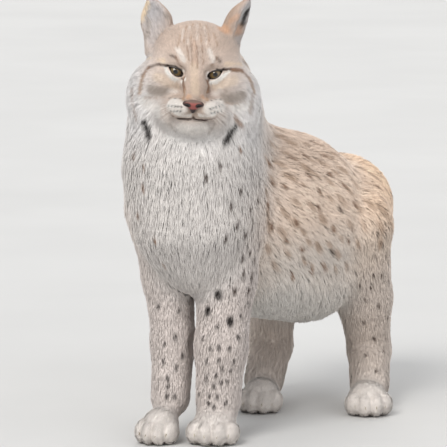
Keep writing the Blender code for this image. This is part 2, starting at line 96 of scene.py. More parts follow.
SHANK = {
    "left": [
        ((0.293, 0.295, 0.335), 0.062),
        ((0.309, 0.345, 0.200), 0.052),
        ((0.320, 0.375, 0.095), 0.040),
        ((0.318, 0.290, 0.045), 0.038),
    ],
    "right": [
        ((0.135, 0.340, 0.300), 0.058),
        ((0.138, 0.385, 0.200), 0.048),
        ((0.135, 0.420, 0.095), 0.040),
        ((0.121, 0.325, 0.045), 0.038),
    ],
}
# Paws, as (centre on the floor, heading in degrees from -Y towards +X, width over the toes).
PAWS = {
    "forepaw_left": ((0.029, -0.036), -6, 0.098),
    "forepaw_right": ((-0.067, -0.028), -16, 0.080),
    "hindpaw_left": ((0.312, 0.240), 4, 0.090),
    "hindpaw_right": ((0.116, 0.270), -9, 0.088),
}
# Toes, as (place aside as a share of half the paw's width, place ahead of its centre).
TOES = ((-0.62, 0.022), (-0.23, 0.036), (0.23, 0.036), (0.62, 0.022))
TAIL = [
    ((0.262, 0.505, 0.335), 0.046),
    ((0.288, 0.566, 0.280), 0.036),
    ((0.296, 0.588, 0.200), 0.030),
]
# Heights and radii of a paw's middle and of a toe. The first radius is a share of half the paw's width.
PAW_HEIGHT, PAW_RADII = 0.030, (0.80, 0.046, 0.031)
TOE_HEIGHT, TOE_RADII = 0.021, (0.39, 0.029, 0.0225)
# Widths over which the stretches of each chain run together.
BEND = {"trunk": 0.05, "chest": 0.04, "neck": 0.03, "belly": 0.03, "tail": 0.03, "thigh": 0.03,
        "foreleg": 0.02, "shank": 0.015}
# Widths over which the parts run into the body, and a paw into its leg.
JOIN = {"chest": 0.035, "neck": 0.04, "belly": 0.05, "thigh": 0.025, "tail": 0.02, "leg": 0.021, "paw": 0.018,
        "head": 0.022, "ear": 0.006}
# Boxes outside which a form isn't worked out, as lowest and highest corners. Those of paws and ears are taken
# from the middle of the paw on the floor and of the ear's base.
TAIL_BOX = ((0.15, 0.40, 0.10), (0.40, 0.70, 0.46))
HEAD_BOX = ((-0.17, -0.17, 0.48), (0.17, 0.14, 0.83))
PAW_BOX = ((-0.10, -0.12, -0.05), (0.10, 0.12, 0.12))
EAR_BOX = ((-0.07, -0.07, -0.07), (0.07, 0.07, 0.11))
FACE_REACH = 0.03  # the lids and the mouth change the skin only this near to it

# Head. Its own frame has +X to the animal's right, +Y out of the face and +Z up, from between the eyes.
HEAD_AT = Vector((-0.0035, -0.060, 0.668))
HEAD_LEAN = radians(4.0)
HEAD_LIFT = radians(5.0)
EYE_AT = (0.0350, 0.0010, -0.0050)
EYE_RADIUS = 0.0155
EYE_SLANT = radians(31)
EYE_HALF = 0.0154  # half the length of the opening between the lids
LID_RISE = 0.0080  # of the upper lid over the line of the corners
LID_FALL = 0.0060  # of the lower lid under it
LID_SKIN = 0.0018  # thickness of the lids
LID_FRONT = 0.0020  # the opening starts this far in front of the middle of the eye
MOUTH_AT = (0.0, 0.0540, -0.0855)  # the slit between the lips
MOUTH_RADII = (0.0340, 0.0270, 0.0024)
MOUTH_DEPTH = 0.0025  # the skin closes the slit this far in
# Ears, as (middle of the base, tip, heading of the cup in degrees from -Y towards +X).
EARS = {
    "left": ((0.061, -0.006, 0.716), (0.0935, 0.002, 0.794), 72),
    "right": ((-0.066, -0.010, 0.712), (-0.0860, 0.000, 0.801), -18),
}
EAR_WIDTH = 0.076
EAR_FLATNESS = 1.45  # how many times broader than deep an ear is
EAR_STEEPNESS = 1.2  # evens out the distances of the flattened form
EAR_SKIN = 0.0016  # the coat's depth on the ears


def turned_by(points, matrix):
    """Points of the frame of matrix in the world."""
    full = np.array(matrix)
    return points @ full[:3, :3].T + full[:3, 3]


def local(points, matrix):
    """World points in the frame of matrix."""
    return turned_by(points, matrix.inverted())


def directions(heading):
    """Unit vectors ahead and to the animal's left along the floor, for a heading in degrees."""
    angle = radians(heading)
    return np.array((sin(angle), -cos(angle), 0.0)), np.array((cos(angle), sin(angle), 0.0))


def head_matrix():
    """The head's frame: the face looks along -Y and a little up, and leans to the animal's left."""
    facing = Matrix.Rotation(pi, 4, "Z")
    lean = Matrix.Rotation(HEAD_LEAN, 4, "Y")
    lift = Matrix.Rotation(HEAD_LIFT, 4, "X")
    return Matrix.Translation(HEAD_AT) @ lean @ facing @ lift


def eye_place(side):
    """The middle of one eye in the head's frame."""
    return Vector((side * EYE_AT[0], EYE_AT[1], EYE_AT[2]))


def eye_matrix(side):
    """One eye's frame in the head's: +X along the line of its corners and +Y out of it."""
    return Matrix.Translation(eye_place(side)) @ Matrix.Rotation(-side * EYE_SLANT, 4, "Y")


def ear_matrix(side):
    """An ear's frame: +Z from its base to its tip and -Y out of its cup."""
    base, tip, heading = Vector(EARS[side][0]), Vector(EARS[side][1]), radians(EARS[side][2])
    up = (tip - base).normalized()
    out = Vector((sin(heading), -cos(heading), 0))
    across = -out.cross(up).normalized()
    turn = Matrix((across, up.cross(across), up)).transposed()
    return Matrix.Translation(base) @ turn.to_4x4()


def ear_length(side):
    return (Vector(EARS[side][1]) - Vector(EARS[side][0])).length


HEAD = head_matrix()
EYE_LOW, EYE_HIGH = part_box("eye_left")
SHIFT = (EYE_LOW + EYE_HIGH) / 2 - HEAD @ eye_place(SIDES["left"])

# The camera looks at the forequarters from 7 m away and 8 degrees above the floor.
PIXEL = 0.00178  # width of one pixel of the 447 x 447 picture, on the plane of the forelegs
PICTURE = 447
MIDDLE_COLUMN = 198  # the column that shows x = 0
VIEW_DISTANCE = 7.0
VIEW_PITCH = radians(8)
VIEW_AIM = Vector(((PICTURE / 2 - MIDDLE_COLUMN) * PIXEL, 0.0, 0.388))
VIEW_FROM = VIEW_AIM + Vector((0, -cos(VIEW_PITCH), sin(VIEW_PITCH))) * VIEW_DISTANCE
SENSOR_WIDTH = 36  # of the camera, in millimetres


def unit(vectors):
    return vectors / (np.linalg.norm(vectors, axis=-1, keepdims=True) + 1e-12)


def along_surface(vectors, normals):
    """Unit vectors with what stands along the normals taken out."""
    return unit(vectors - normals * np.sum(vectors * normals, axis=1, keepdims=True))


def ramp(values, start, end):
    """0 before start and 1 after end, smooth in between. start may be the larger one."""
    share = np.clip((values - start) / (end - start), 0, 1)
    return share * share * (3 - 2 * share)


def mirrored(points):
    """Points of the head's frame, folded on to the animal's right half."""
    return np.concatenate([np.abs(points[:, :1]), points[:, 1:]], axis=1)


# Distances


def cone(points, start, end, start_radius, end_radius):
    """Distance to a limb with round ends, whose radius runs evenly from one end to the other."""
    a, b = np.array(start), np.array(end)
    along = b - a
    share = np.clip((points - a) @ along / (along @ along), 0, 1)
    nearest = a + share[:, None] * along
    radius = start_radius + share * (end_radius - start_radius)
    return np.linalg.norm(points - nearest, axis=1) - radius


def oval(points, centre, radii, turn=0.0):
    """Distance to an ellipsoid, turned about the vertical by turn degrees."""
    angle = radians(turn)
    offset = points - np.array(centre)
    x = offset[:, 0] * cos(angle) + offset[:, 1] * sin(angle)
    y = offset[:, 1] * cos(angle) - offset[:, 0] * sin(angle)
    turned = np.stack([x, y, offset[:, 2]], axis=1)
    radii = np.array(radii)
    near = np.linalg.norm(turned / radii, axis=1)
    steep = np.linalg.norm(turned / radii**2, axis=1) + 1e-9
    return near * (near - 1) / steep


def blend(one, other, width):
    """Smooth union of two distances, rounded over width."""
    share = np.clip(0.5 + 0.5 * (other - one) / width, 0, 1)
    return other * (1 - share) + one * share - width * share * (1 - share)


def carve(solid, hole, width):
    """What is left of solid outside hole, with the edge rounded over width."""
    return -blend(-solid, hole, width)


def limb(points, sections, width):
    """A chain of cones through sections."""
    distance = None
    for (a, ra), (b, rb) in zip(sections, sections[1:]):
        piece = cone(points, a, b, ra, rb)
        distance = piece if distance is None else blend(distance, piece, width)
    return distance


def in_box(points, low, high):
    return np.all((points > np.array(low)) & (points < np.array(high)), axis=1)


def within(points, low, high, distance):
    """The distance of the points inside a box, and FAR for the others."""
    inside = in_box(points, low, high)
    result = np.full(len(points), FAR)
    result[inside] = distance(points[inside])
    return result


def paw(points, centre, heading, width):
    """A round paw with four toes, on the floor."""
    ahead, aside = directions(heading)
    middle = np.array((*centre, 0.0))
    half = width / 2
    radii = (half * PAW_RADII[0], *PAW_RADII[1:])
    distance = oval(points, middle + (0, 0, PAW_HEIGHT), radii, heading)
    radii = (half * TOE_RADII[0], *TOE_RADII[1:])
    for side, reach in TOES:
        toe = middle + ahead * reach + aside * side * half + (0, 0, TOE_HEIGHT)
        distance = blend(distance, oval(points, toe, radii, heading), 0.005)
    return distance


def head_form(points):
    """The head in its own frame, with the depth of its coat and without lids and lips."""
    p = mirrored(points)
    skull = oval(p, (0, -0.042, 0.020), (0.078, 0.072, 0.068))
    brow = oval(p, (0.018, -0.012, 0.022), (0.044, 0.032, 0.032))
    cheek = oval(p, (0.054, -0.024, -0.020), (0.044, 0.040, 0.044))
    ruff = oval(p, (0.074, -0.050, -0.052), (0.046, 0.040, 0.060))
    jaw = oval(p, (0.020, 0.000, -0.078), (0.046, 0.046, 0.036))
    bridge = cone(p, (0, 0.000, 0.006), (0, 0.043, -0.049), 0.0270, 0.0185)
    whisker_pad = oval(p, (0.022, 0.036, -0.0670), (0.0265, 0.0270, 0.0205))
    chin = oval(p, (0, 0.023, -0.0940), (0.034, 0.028, 0.0210))
    hollow = oval(p, (0.036, 0.022, -0.008), (0.020, 0.0080, 0.012))
    distance = skull
    for form, width in ((brow, 0.020), (cheek, 0.022), (ruff, 0.030), (jaw, 0.020), (bridge, 0.016),
                        (whisker_pad, 0.009), (chin, 0.010)):
        distance = blend(distance, form, width)
    return carve(distance, hollow, 0.010)


def eye_frame(points, side):
    """Points in the frame of one eye: +X from its inner corner to its outer one, +Y out of it."""
    turned = local(points, eye_matrix(side))
    turned[:, 0] *= side
    return turned


def lid_heights(x):
    """Heights of the upper and the lower lid over the line of the corners, at x along it."""
    share = np.clip((x / EYE_HALF + 1) / 2, 0, 1)
    upper = LID_RISE * np.sin(pi * share**0.62) ** 0.7
    lower = -LID_FALL * np.sin(pi * share**0.90) ** 0.9
    return upper, lower


def lid_opening(turned):
    """Distance across the opening between the lids, from points in an eye's frame."""
    upper, lower = lid_heights(turned[:, 0])
    across = np.maximum(turned[:, 2] - upper, lower - turned[:, 2])
    return np.maximum(across, np.abs(turned[:, 0]) - EYE_HALF)


def face(distance, points):
    """Adds the lids and their openings, the slit of the mouth and the cleft of the lip to a head."""
    p = mirrored(points)
    distance = blend(distance, oval(p, EYE_AT, (EYE_RADIUS + LID_SKIN,) * 3), 0.006)
    turned = eye_frame(p, 1)
    opening = np.maximum(lid_opening(turned), LID_FRONT - turned[:, 1])
    distance = np.maximum(distance, -opening)
    distance = np.maximum(distance, EYE_RADIUS - 0.0004 - np.linalg.norm(p - np.array(EYE_AT), axis=1))
    slit = np.maximum(oval(p, MOUTH_AT, MOUTH_RADII), -distance - MOUTH_DEPTH)
    distance = carve(distance, slit, 0.002)
    cleft = cone(p, (0, 0.066, -0.070), (0, 0.062, -0.084), 0.0014, 0.0014)
    return carve(distance, cleft, 0.002)


def nose_distance(points):
    """The nose pad in the head's frame: a broad bar over a narrow wedge, with two nostrils and a groove."""
    p = mirrored(points)
    bar = oval(p, (0.0060, 0.0585, -0.0580), (0.0128, 0.0100, 0.0062))
    wedge = cone(p, (0, 0.0590, -0.0600), (0, 0.0585, -0.0705), 0.0092, 0.0036)
    nostril = oval(p, (0.0100, 0.0690, -0.0615), (0.0038, 0.0060, 0.0023))
    groove = cone(p, (0, 0.0705, -0.0650), (0, 0.0680, -0.0760), 0.0007, 0.0007)
    return carve(carve(blend(bar, wedge, 0.005), nostril, 0.0015), groove, 0.0008)


def ear_forms(points, side):
    """Distances to the pointed leaf of one ear and to the hollow of its cup."""
    p = local(points, ear_matrix(side)) * np.array((1.0, EAR_FLATNESS, 1.0))
    half, length = EAR_WIDTH / 2, ear_length(side)
    leaf = [
        ((0, 0.010, -0.010), half - 0.006),
        ((0, 0.006, length * 0.45), half * 0.62),
        ((0, 0.004, length - 0.004), 0.0035),
    ]
    cup = [
        ((0, -0.026, 0.012), half - 0.010),
        ((0, -0.018, length * 0.50), half * 0.58),
        ((0, -0.010, length * 0.90), 0.0040),
    ]
    return [limb(p, sections, 0.020) / EAR_STEEPNESS for sections in (leaf, cup)]


def ear(points, side):
    """An ear with its cup, less the depth of its coat."""
    leaf, cup = ear_forms(points, side)
    return carve(leaf + EAR_SKIN, cup - EAR_SKIN * 0.3, 0.003)


def body_form(parts):
    """Distance to the body without its head, from the distances to its parts."""
    middle = parts["trunk"]
    for name in ("chest", "neck", "belly"):
        middle = blend(middle, parts[name], JOIN[name])
    for side in SIDES:
        middle = blend(middle, parts["thigh_" + side], JOIN["thigh"])
    distance = blend(middle, parts["tail"], JOIN["tail"])
    legs = {leg + side: blend(parts[leg + side], parts[foot + side], JOIN["paw"])
            for leg, foot in (("foreleg_", "forepaw_"), ("shank_", "hindpaw_")) for side in SIDES}
    legs["foreleg_right"] = np.maximum(legs["foreleg_right"], LEG_GAP - legs["foreleg_left"])
    for one in legs.values():
        distance = np.minimum(distance, blend(middle, one, JOIN["leg"]))
    return distance


def parts_of(points):
    """Distances to the parts of the body, each with the depth of its coat."""
    parts = {}
    for name, chain in (("trunk", TRUNK), ("chest", CHEST), ("neck", NECK), ("belly", BELLY)):
        parts[name] = limb(points, chain, BEND[name])
    parts["tail"] = within(points, *TAIL_BOX, lambda p: limb(p, TAIL, BEND["tail"]))
    for side in SIDES:
        for name, chains in (("thigh", THIGH), ("foreleg", FORELEG), ("shank", SHANK)):
            parts[f"{name}_{side}"] = limb(points, chains[side], BEND[name])
    for name, (centre, heading, width) in PAWS.items():
        low, high = np.array((*centre, 0.0)) + PAW_BOX
        parts[name] = within(points, low, high, lambda p: paw(p, centre, heading, width))
    return parts


# Regions of the coat

# Each as (depth, length of a tuft, its width, tufts per square metre, share by which tips draw together).
COAT = {
    "trunk": (0.0075, 0.027, 0.00160, 145e3, 0.20),
    "chest": (0.0105, 0.039, 0.00155, 140e3, 0.25),
    "neck": (0.0100, 0.034, 0.00145, 155e3, 0.25),
    "belly": (0.0105, 0.042, 0.00165, 100e3, 0.35),
    "tail": (0.0080, 0.025, 0.00150, 150e3, 0.20),
    "thigh": (0.0075, 0.027, 0.00155, 135e3, 0.20),
    "foreleg": (0.0042, 0.016, 0.00145, 125e3, 0.12),
    "shank": (0.0045, 0.017, 0.00145, 105e3, 0.12),
    "paw": (0.0028, 0.011, 0.00130, 185e3, 0.12),
    "muzzle": (0.0014, 0.0055, 0.00075, 1400e3, 0.05),
    "eyes": (0.0014, 0.0065, 0.00082, 1200e3, 0.05),
    "crown": (0.0028, 0.0130, 0.00105, 560e3, 0.10),
    "cheek": (0.0080, 0.0270, 0.00130, 300e3, 0.22),
    "chin": (0.0035, 0.0120, 0.00105, 560e3, 0.10),
    "ear_back": (0.0016, 0.0085, 0.00100, 600e3, 0.10),
    "ear_cup": (0.0045, 0.0220, 0.00100, 330e3, 0.20),
}
# Places of the head's regions in its own frame, for the animal's right half, as (centre, radii).
HEAD_REGIONS = {
    "muzzle": ((0.000, 0.034, -0.050), (0.046, 0.040, 0.044)),
    "eyes": ((0.034, 0.006, -0.004), (0.034, 0.020, 0.026)),
    "crown": ((0.000, -0.034, 0.036), (0.072, 0.062, 0.052)),
    "cheek": ((0.086, -0.045, -0.054), (0.046, 0.050, 0.064)),
    "chin": ((0.000, 0.014, -0.104), (0.040, 0.030, 0.022)),
}
NAMES = list(COAT)
TABLE = np.array(list(COAT.values()))
REGION_LEAD = 0.004  # how far the head's regions reach beyond their own forms
REGION_SOFTNESS = 0.014  # over which one region fades into the next
EAR_HOLD = 3  # how much faster than the others the ears' regions fade with distance


def region_shares(points, parts=None):
    """The share of each region of the coat at each point, in the order of NAMES."""
    parts = parts or parts_of(points)
    found = {name: parts[name] for name in ("trunk", "chest", "neck", "belly", "tail")}
    for name in ("thigh", "foreleg", "shank"):
        found[name] = np.minimum(parts[name + "_left"], parts[name + "_right"])
    found["paw"] = np.minimum.reduce([parts[name] for name in PAWS])
    p = mirrored(local(points, HEAD))
    for name, (centre, radii) in HEAD_REGIONS.items():
        found[name] = oval(p, centre, radii) - REGION_LEAD
    forms = [ear_forms(points, side) for side in SIDES]
    backs = np.minimum(*(np.abs(leaf) for leaf, cup in forms))
    cups = np.minimum(*(np.maximum(np.abs(cup), leaf) for leaf, cup in forms))
    found["ear_back"] = EAR_HOLD * backs - REGION_LEAD
    found["ear_cup"] = EAR_HOLD * cups - REGION_LEAD
    distances = np.stack([found[name] for name in NAMES], axis=1)
    shares = np.exp(-(distances - distances.min(axis=1, keepdims=True)) / REGION_SOFTNESS)
    return shares / shares.sum(axis=1, keepdims=True)


def in_regions(shares, names):
    """Whether the greatest share at each point is that of one of the named regions."""
    return np.isin(shares.argmax(axis=1), [NAMES.index(name) for name in names])


def skin_distance(points):
    """Distance to the skin: the solids' form less the depth of the coat, with the face and the ears."""
    parts = parts_of(points)
    depth = region_shares(points, parts) @ TABLE[:, 0]
    body = body_form(parts) + depth
    form = within(points, *HEAD_BOX, lambda p: head_form(local(p, HEAD)))
    distance = blend(body, form + depth, JOIN["head"])
    near = (np.abs(distance) < FACE_REACH) & in_box(points, *HEAD_BOX)
    distance[near] = face(distance[near], local(points[near], HEAD))
    for side in SIDES:
        low, high = np.array(EARS[side][0]) + EAR_BOX
        distance = blend(distance, within(points, low, high, lambda p: ear(p, side)), JOIN["ear"])
    return distance


# Meshes

COLOUR = "Coat"  # the colour attribute that skin and coat share
BLOCK = 4  # cells along one side of a block of the grid
BLOCK_REACH = 0.62  # blocks nearer to the surface than this share of their diagonal are worked out in full


def grid_line(spans):
    """Places along one axis of a grid, from spans of (start, end, cell)."""
    return np.concatenate([np.arange(start, end, cell) for start, end, cell in spans])


def surface_net(distance, lines):
    """The closed surface where distance is zero, as (points, quads), on a grid of these lines."""
    blocks = np.array([(len(line) - 1) // BLOCK for line in lines])
    size = blocks * BLOCK
    lines = [line[: n + 1] for line, n in zip(lines, size)]
    corner = np.indices(blocks).reshape(3, -1).T * BLOCK
    low = np.stack([lines[k][corner[:, k]] for k in range(3)], axis=1)
    high = np.stack([lines[k][corner[:, k] + BLOCK] for k in range(3)], axis=1)
    rough = distance((low + high) / 2)
    near = np.abs(rough) < np.linalg.norm(high - low, axis=1) * BLOCK_REACH
    grid = rough.reshape(blocks)
    for axis in range(3):
        grid = np.repeat(grid, BLOCK, axis)
    step = np.indices((BLOCK,) * 3).reshape(3, -1).T
    index = (corner[near][:, None] + step[None]).reshape(-1, 3)
    places = np.stack([lines[k][index[:, k]] for k in range(3)], axis=1)
    grid[tuple(index.T)] = distance(places)
    inside = grid < 0
    cells, found, quads = [], [], []
    for axis in range(3):
        ahead, side, up = np.roll(np.eye(3, dtype=int), -axis, axis=0)
        here = np.take(inside, range(size[axis] - 1), axis)
        there = np.take(inside, range(1, size[axis]), axis)
        at = np.argwhere(here != there)
        start, end = grid[tuple(at.T)], grid[tuple((at + ahead).T)]
        crossing = at + (start / (start - end))[:, None] * ahead
        crossing = [np.interp(crossing[:, k], np.arange(size[k] + 1), lines[k]) for k in range(3)]
        crossing = np.stack(crossing, axis=1)
        around = [at, at - side, at - side - up, at - up]
        codes = np.stack([np.ravel_multi_index(a.T, size) for a in around], 1)
        codes[start > 0] = codes[start > 0][:, ::-1]
        quads.append(codes)
        cells.append(codes.reshape(-1))
        found.append(np.repeat(crossing, 4, axis=0))
    codes, number = np.unique(np.concatenate(cells), return_inverse=True)
    found = np.concatenate(found)
    counts = np.bincount(number)
    points = np.stack([np.bincount(number, found[:, k]) / counts for k in range(3)], 1)
    return points, np.searchsorted(codes, np.concatenate(quads))


def add_object(name, data):
    """A new object in the scene, with this mesh, lamp or camera."""
    made = bpy.data.objects.new(name, data)
    bpy.context.scene.collection.objects.link(made)
    return made


def add_mesh(name, points, faces, colours=None, normals=None):
    """A new smooth object from arrays of points and of faces with equally many corners, carried by SHIFT."""
    mesh = bpy.data.meshes.new(name)
    count, corners = faces.shape
    mesh.vertices.add(len(points))
    mesh.vertices.foreach_set("co", (points + np.array(SHIFT)).astype(np.float32).ravel())
    mesh.loops.add(faces.size)
    mesh.loops.foreach_set("vertex_index", faces.astype(np.int32).ravel())
    mesh.polygons.add(count)
    mesh.polygons.foreach_set("loop_start", np.arange(0, faces.size, corners, dtype=np.int32))
    mesh.update(calc_edges=True)
    mesh.shade_smooth()
    if colours is not None:
        layer = mesh.color_attributes.new(COLOUR, "FLOAT_COLOR", "POINT")
        full = np.concatenate([colours, np.ones((len(colours), 1))], axis=1)
        layer.data.foreach_set("color", full.astype(np.float32).ravel())
    if normals is not None:
        mesh.normals_split_custom_set_from_vertices(normals.tolist())
    return add_object(name, mesh)


def vertex_normals(points, quads):
    """The normal at each point of a mesh of quads."""
    a, b, c, d = (points[quads[:, k]] for k in range(4))
    face_normals = np.cross(c - a, d - b)
    normals = np.stack([np.bincount(quads.ravel(), np.repeat(face_normals[:, k], 4), len(points))
                        for k in range(3)], axis=1)
    return unit(normals)


def point_tree(points):
    """A tree that finds the nearest of these points."""
    tree = KDTree(len(points))
    for i, place in enumerate(points.tolist()):
        tree.insert(place, i)
    tree.balance()
    return tree


# Lie of the coat

DOWN = np.array((0.0, 0.0, -1.0))
LIE_REACH = 0.02  # over which the directions of two stretches or two paws mix
# Where the coat hangs one way all over a region.
LIES = {
    "chest": (0.0, -0.10, -1.0),
    "belly": (0.15, 0.35, -0.90),
    "thigh": (0.10, 0.45, -0.90),
}
NOSE_ROOT = np.array((0.0, 0.066, -0.056))  # the hair of the face parts from here, in the head's frame
# What gravity and growth add to the lie in the regions of the head, in its own frame.
HEAD_LIES = {
    "muzzle": (0.0, -0.10, -0.25),
    "eyes": (0.0, -0.20, 0.0),
    "crown": (0.0, -0.80, 0.0),
    "cheek": (0.0, -0.35, -1.00),
    "chin": (0.0, -0.50, -0.80),
}
# The hair parts round each eye too, with this strength, wholly inside the first distance and not beyond the
# other.
EYE_PARTING, EYE_PARTING_REACH = 1.6, (0.020, 0.032)


def chain_lie(points, sections):
    """The direction along a chain of sections, from its first to its last, at the nearest stretch of it."""
    total = np.zeros_like(points)
    for (a, ra), (b, rb) in zip(sections, sections[1:]):
        weight = np.exp(-cone(points, a, b, ra, rb) / LIE_REACH)
        total += weight[:, None] * unit(np.array(b) - np.array(a))
    return unit(total)


def lie_of(points, normals, shares):
    """The direction in which the coat lies on the surface at each point."""
    parts = {name: np.broadcast_to(lie, points.shape) for name, lie in LIES.items()}
    parts["trunk"] = chain_lie(points, TRUNK) + 0.45 * DOWN
    parts["neck"] = chain_lie(points, NECK[::-1])
    parts["tail"] = chain_lie(points, TAIL)
    for name, chains in (("foreleg", FORELEG), ("shank", SHANK)):
        middle = (np.array(chains["left"][1][0]) + np.array(chains["right"][1][0]))[0] / 2
        left = points[:, :1] > middle
        parts[name] = np.where(left, chain_lie(points, chains["left"]), chain_lie(points, chains["right"]))
    ahead = np.zeros_like(points)
    for centre, heading, _ in PAWS.values():
        near = np.exp(-np.linalg.norm(points[:, :2] - np.array(centre), axis=1) / LIE_REACH)
        ahead += near[:, None] * directions(heading)[0]
    parts["paw"] = unit(ahead) + 0.5 * DOWN
    p = local(points, HEAD)
    away = unit(p - NOSE_ROOT)
    turn = np.array(HEAD.to_3x3())
    for side in SIDES.values():
        offset = p - np.array(EYE_AT) * (side, 1, 1)
        reach = np.linalg.norm(offset, axis=1)
        away += (EYE_PARTING * ramp(reach, *EYE_PARTING_REACH[::-1]) / reach)[:, None] * offset
    for name, added in HEAD_LIES.items():
        parts[name] = (away + np.array(added)) @ turn.T
    right = points[:, :1] < 0
    tips = [np.array(Vector(tip) - Vector(base)) for base, tip, _ in EARS.values()]
    outs = [-np.array(ear_matrix(side).col[1][:3]) for side in SIDES]
    parts["ear_back"] = np.where(right, tips[1], tips[0])
    parts["ear_cup"] = unit(parts["ear_back"]) + 0.9 * np.where(right, outs[1], outs[0])
    lie = sum(shares[:, [k]] * unit(parts[name]) for k, name in enumerate(NAMES))
    return along_surface(lie, normals)


# Colours


def tone(red, green, blue):
    """A colour as seen on a screen, from 0 to 255, as linear light."""
    seen = np.array((red, green, blue)) / 255
    return np.where(seen < 0.04045, seen / 12.92, ((seen + 0.055) / 1.055) ** 2.4)


# Ground colour of each region.
GROUND = {
    "trunk": tone(248, 224, 204),
    "chest": tone(222, 217, 213),
    "neck": tone(228, 214, 203),
    "belly": tone(220, 217, 212),
    "tail": tone(230, 204, 176),
    "thigh": tone(252, 216, 182),
    "foreleg": tone(214, 203, 197),
    "shank": tone(216, 202, 191),
    "paw": tone(238, 230, 223),
    "muzzle": tone(190, 169, 154),
    "eyes": tone(222, 203, 190),
    "crown": tone(194, 173, 158),
    "cheek": tone(236, 233, 232),
    "chin": tone(228, 226, 224),
    "ear_back": tone(196, 168, 147),
    "ear_cup": tone(204, 203, 206),
}
GROUND_TABLE = np.array([GROUND[name] for name in NAMES])
# Colours of the markings.
BLACK = tone(34, 27, 24)
DARK = tone(66, 48, 38)
BROWN = tone(138, 106, 84)
FAINT = tone(172, 142, 118)
PEACH = tone(214, 168, 134)
CREAM = tone(230, 208, 180)
WHITE = tone(250, 246, 240)
GREY = tone(166, 154, 144)
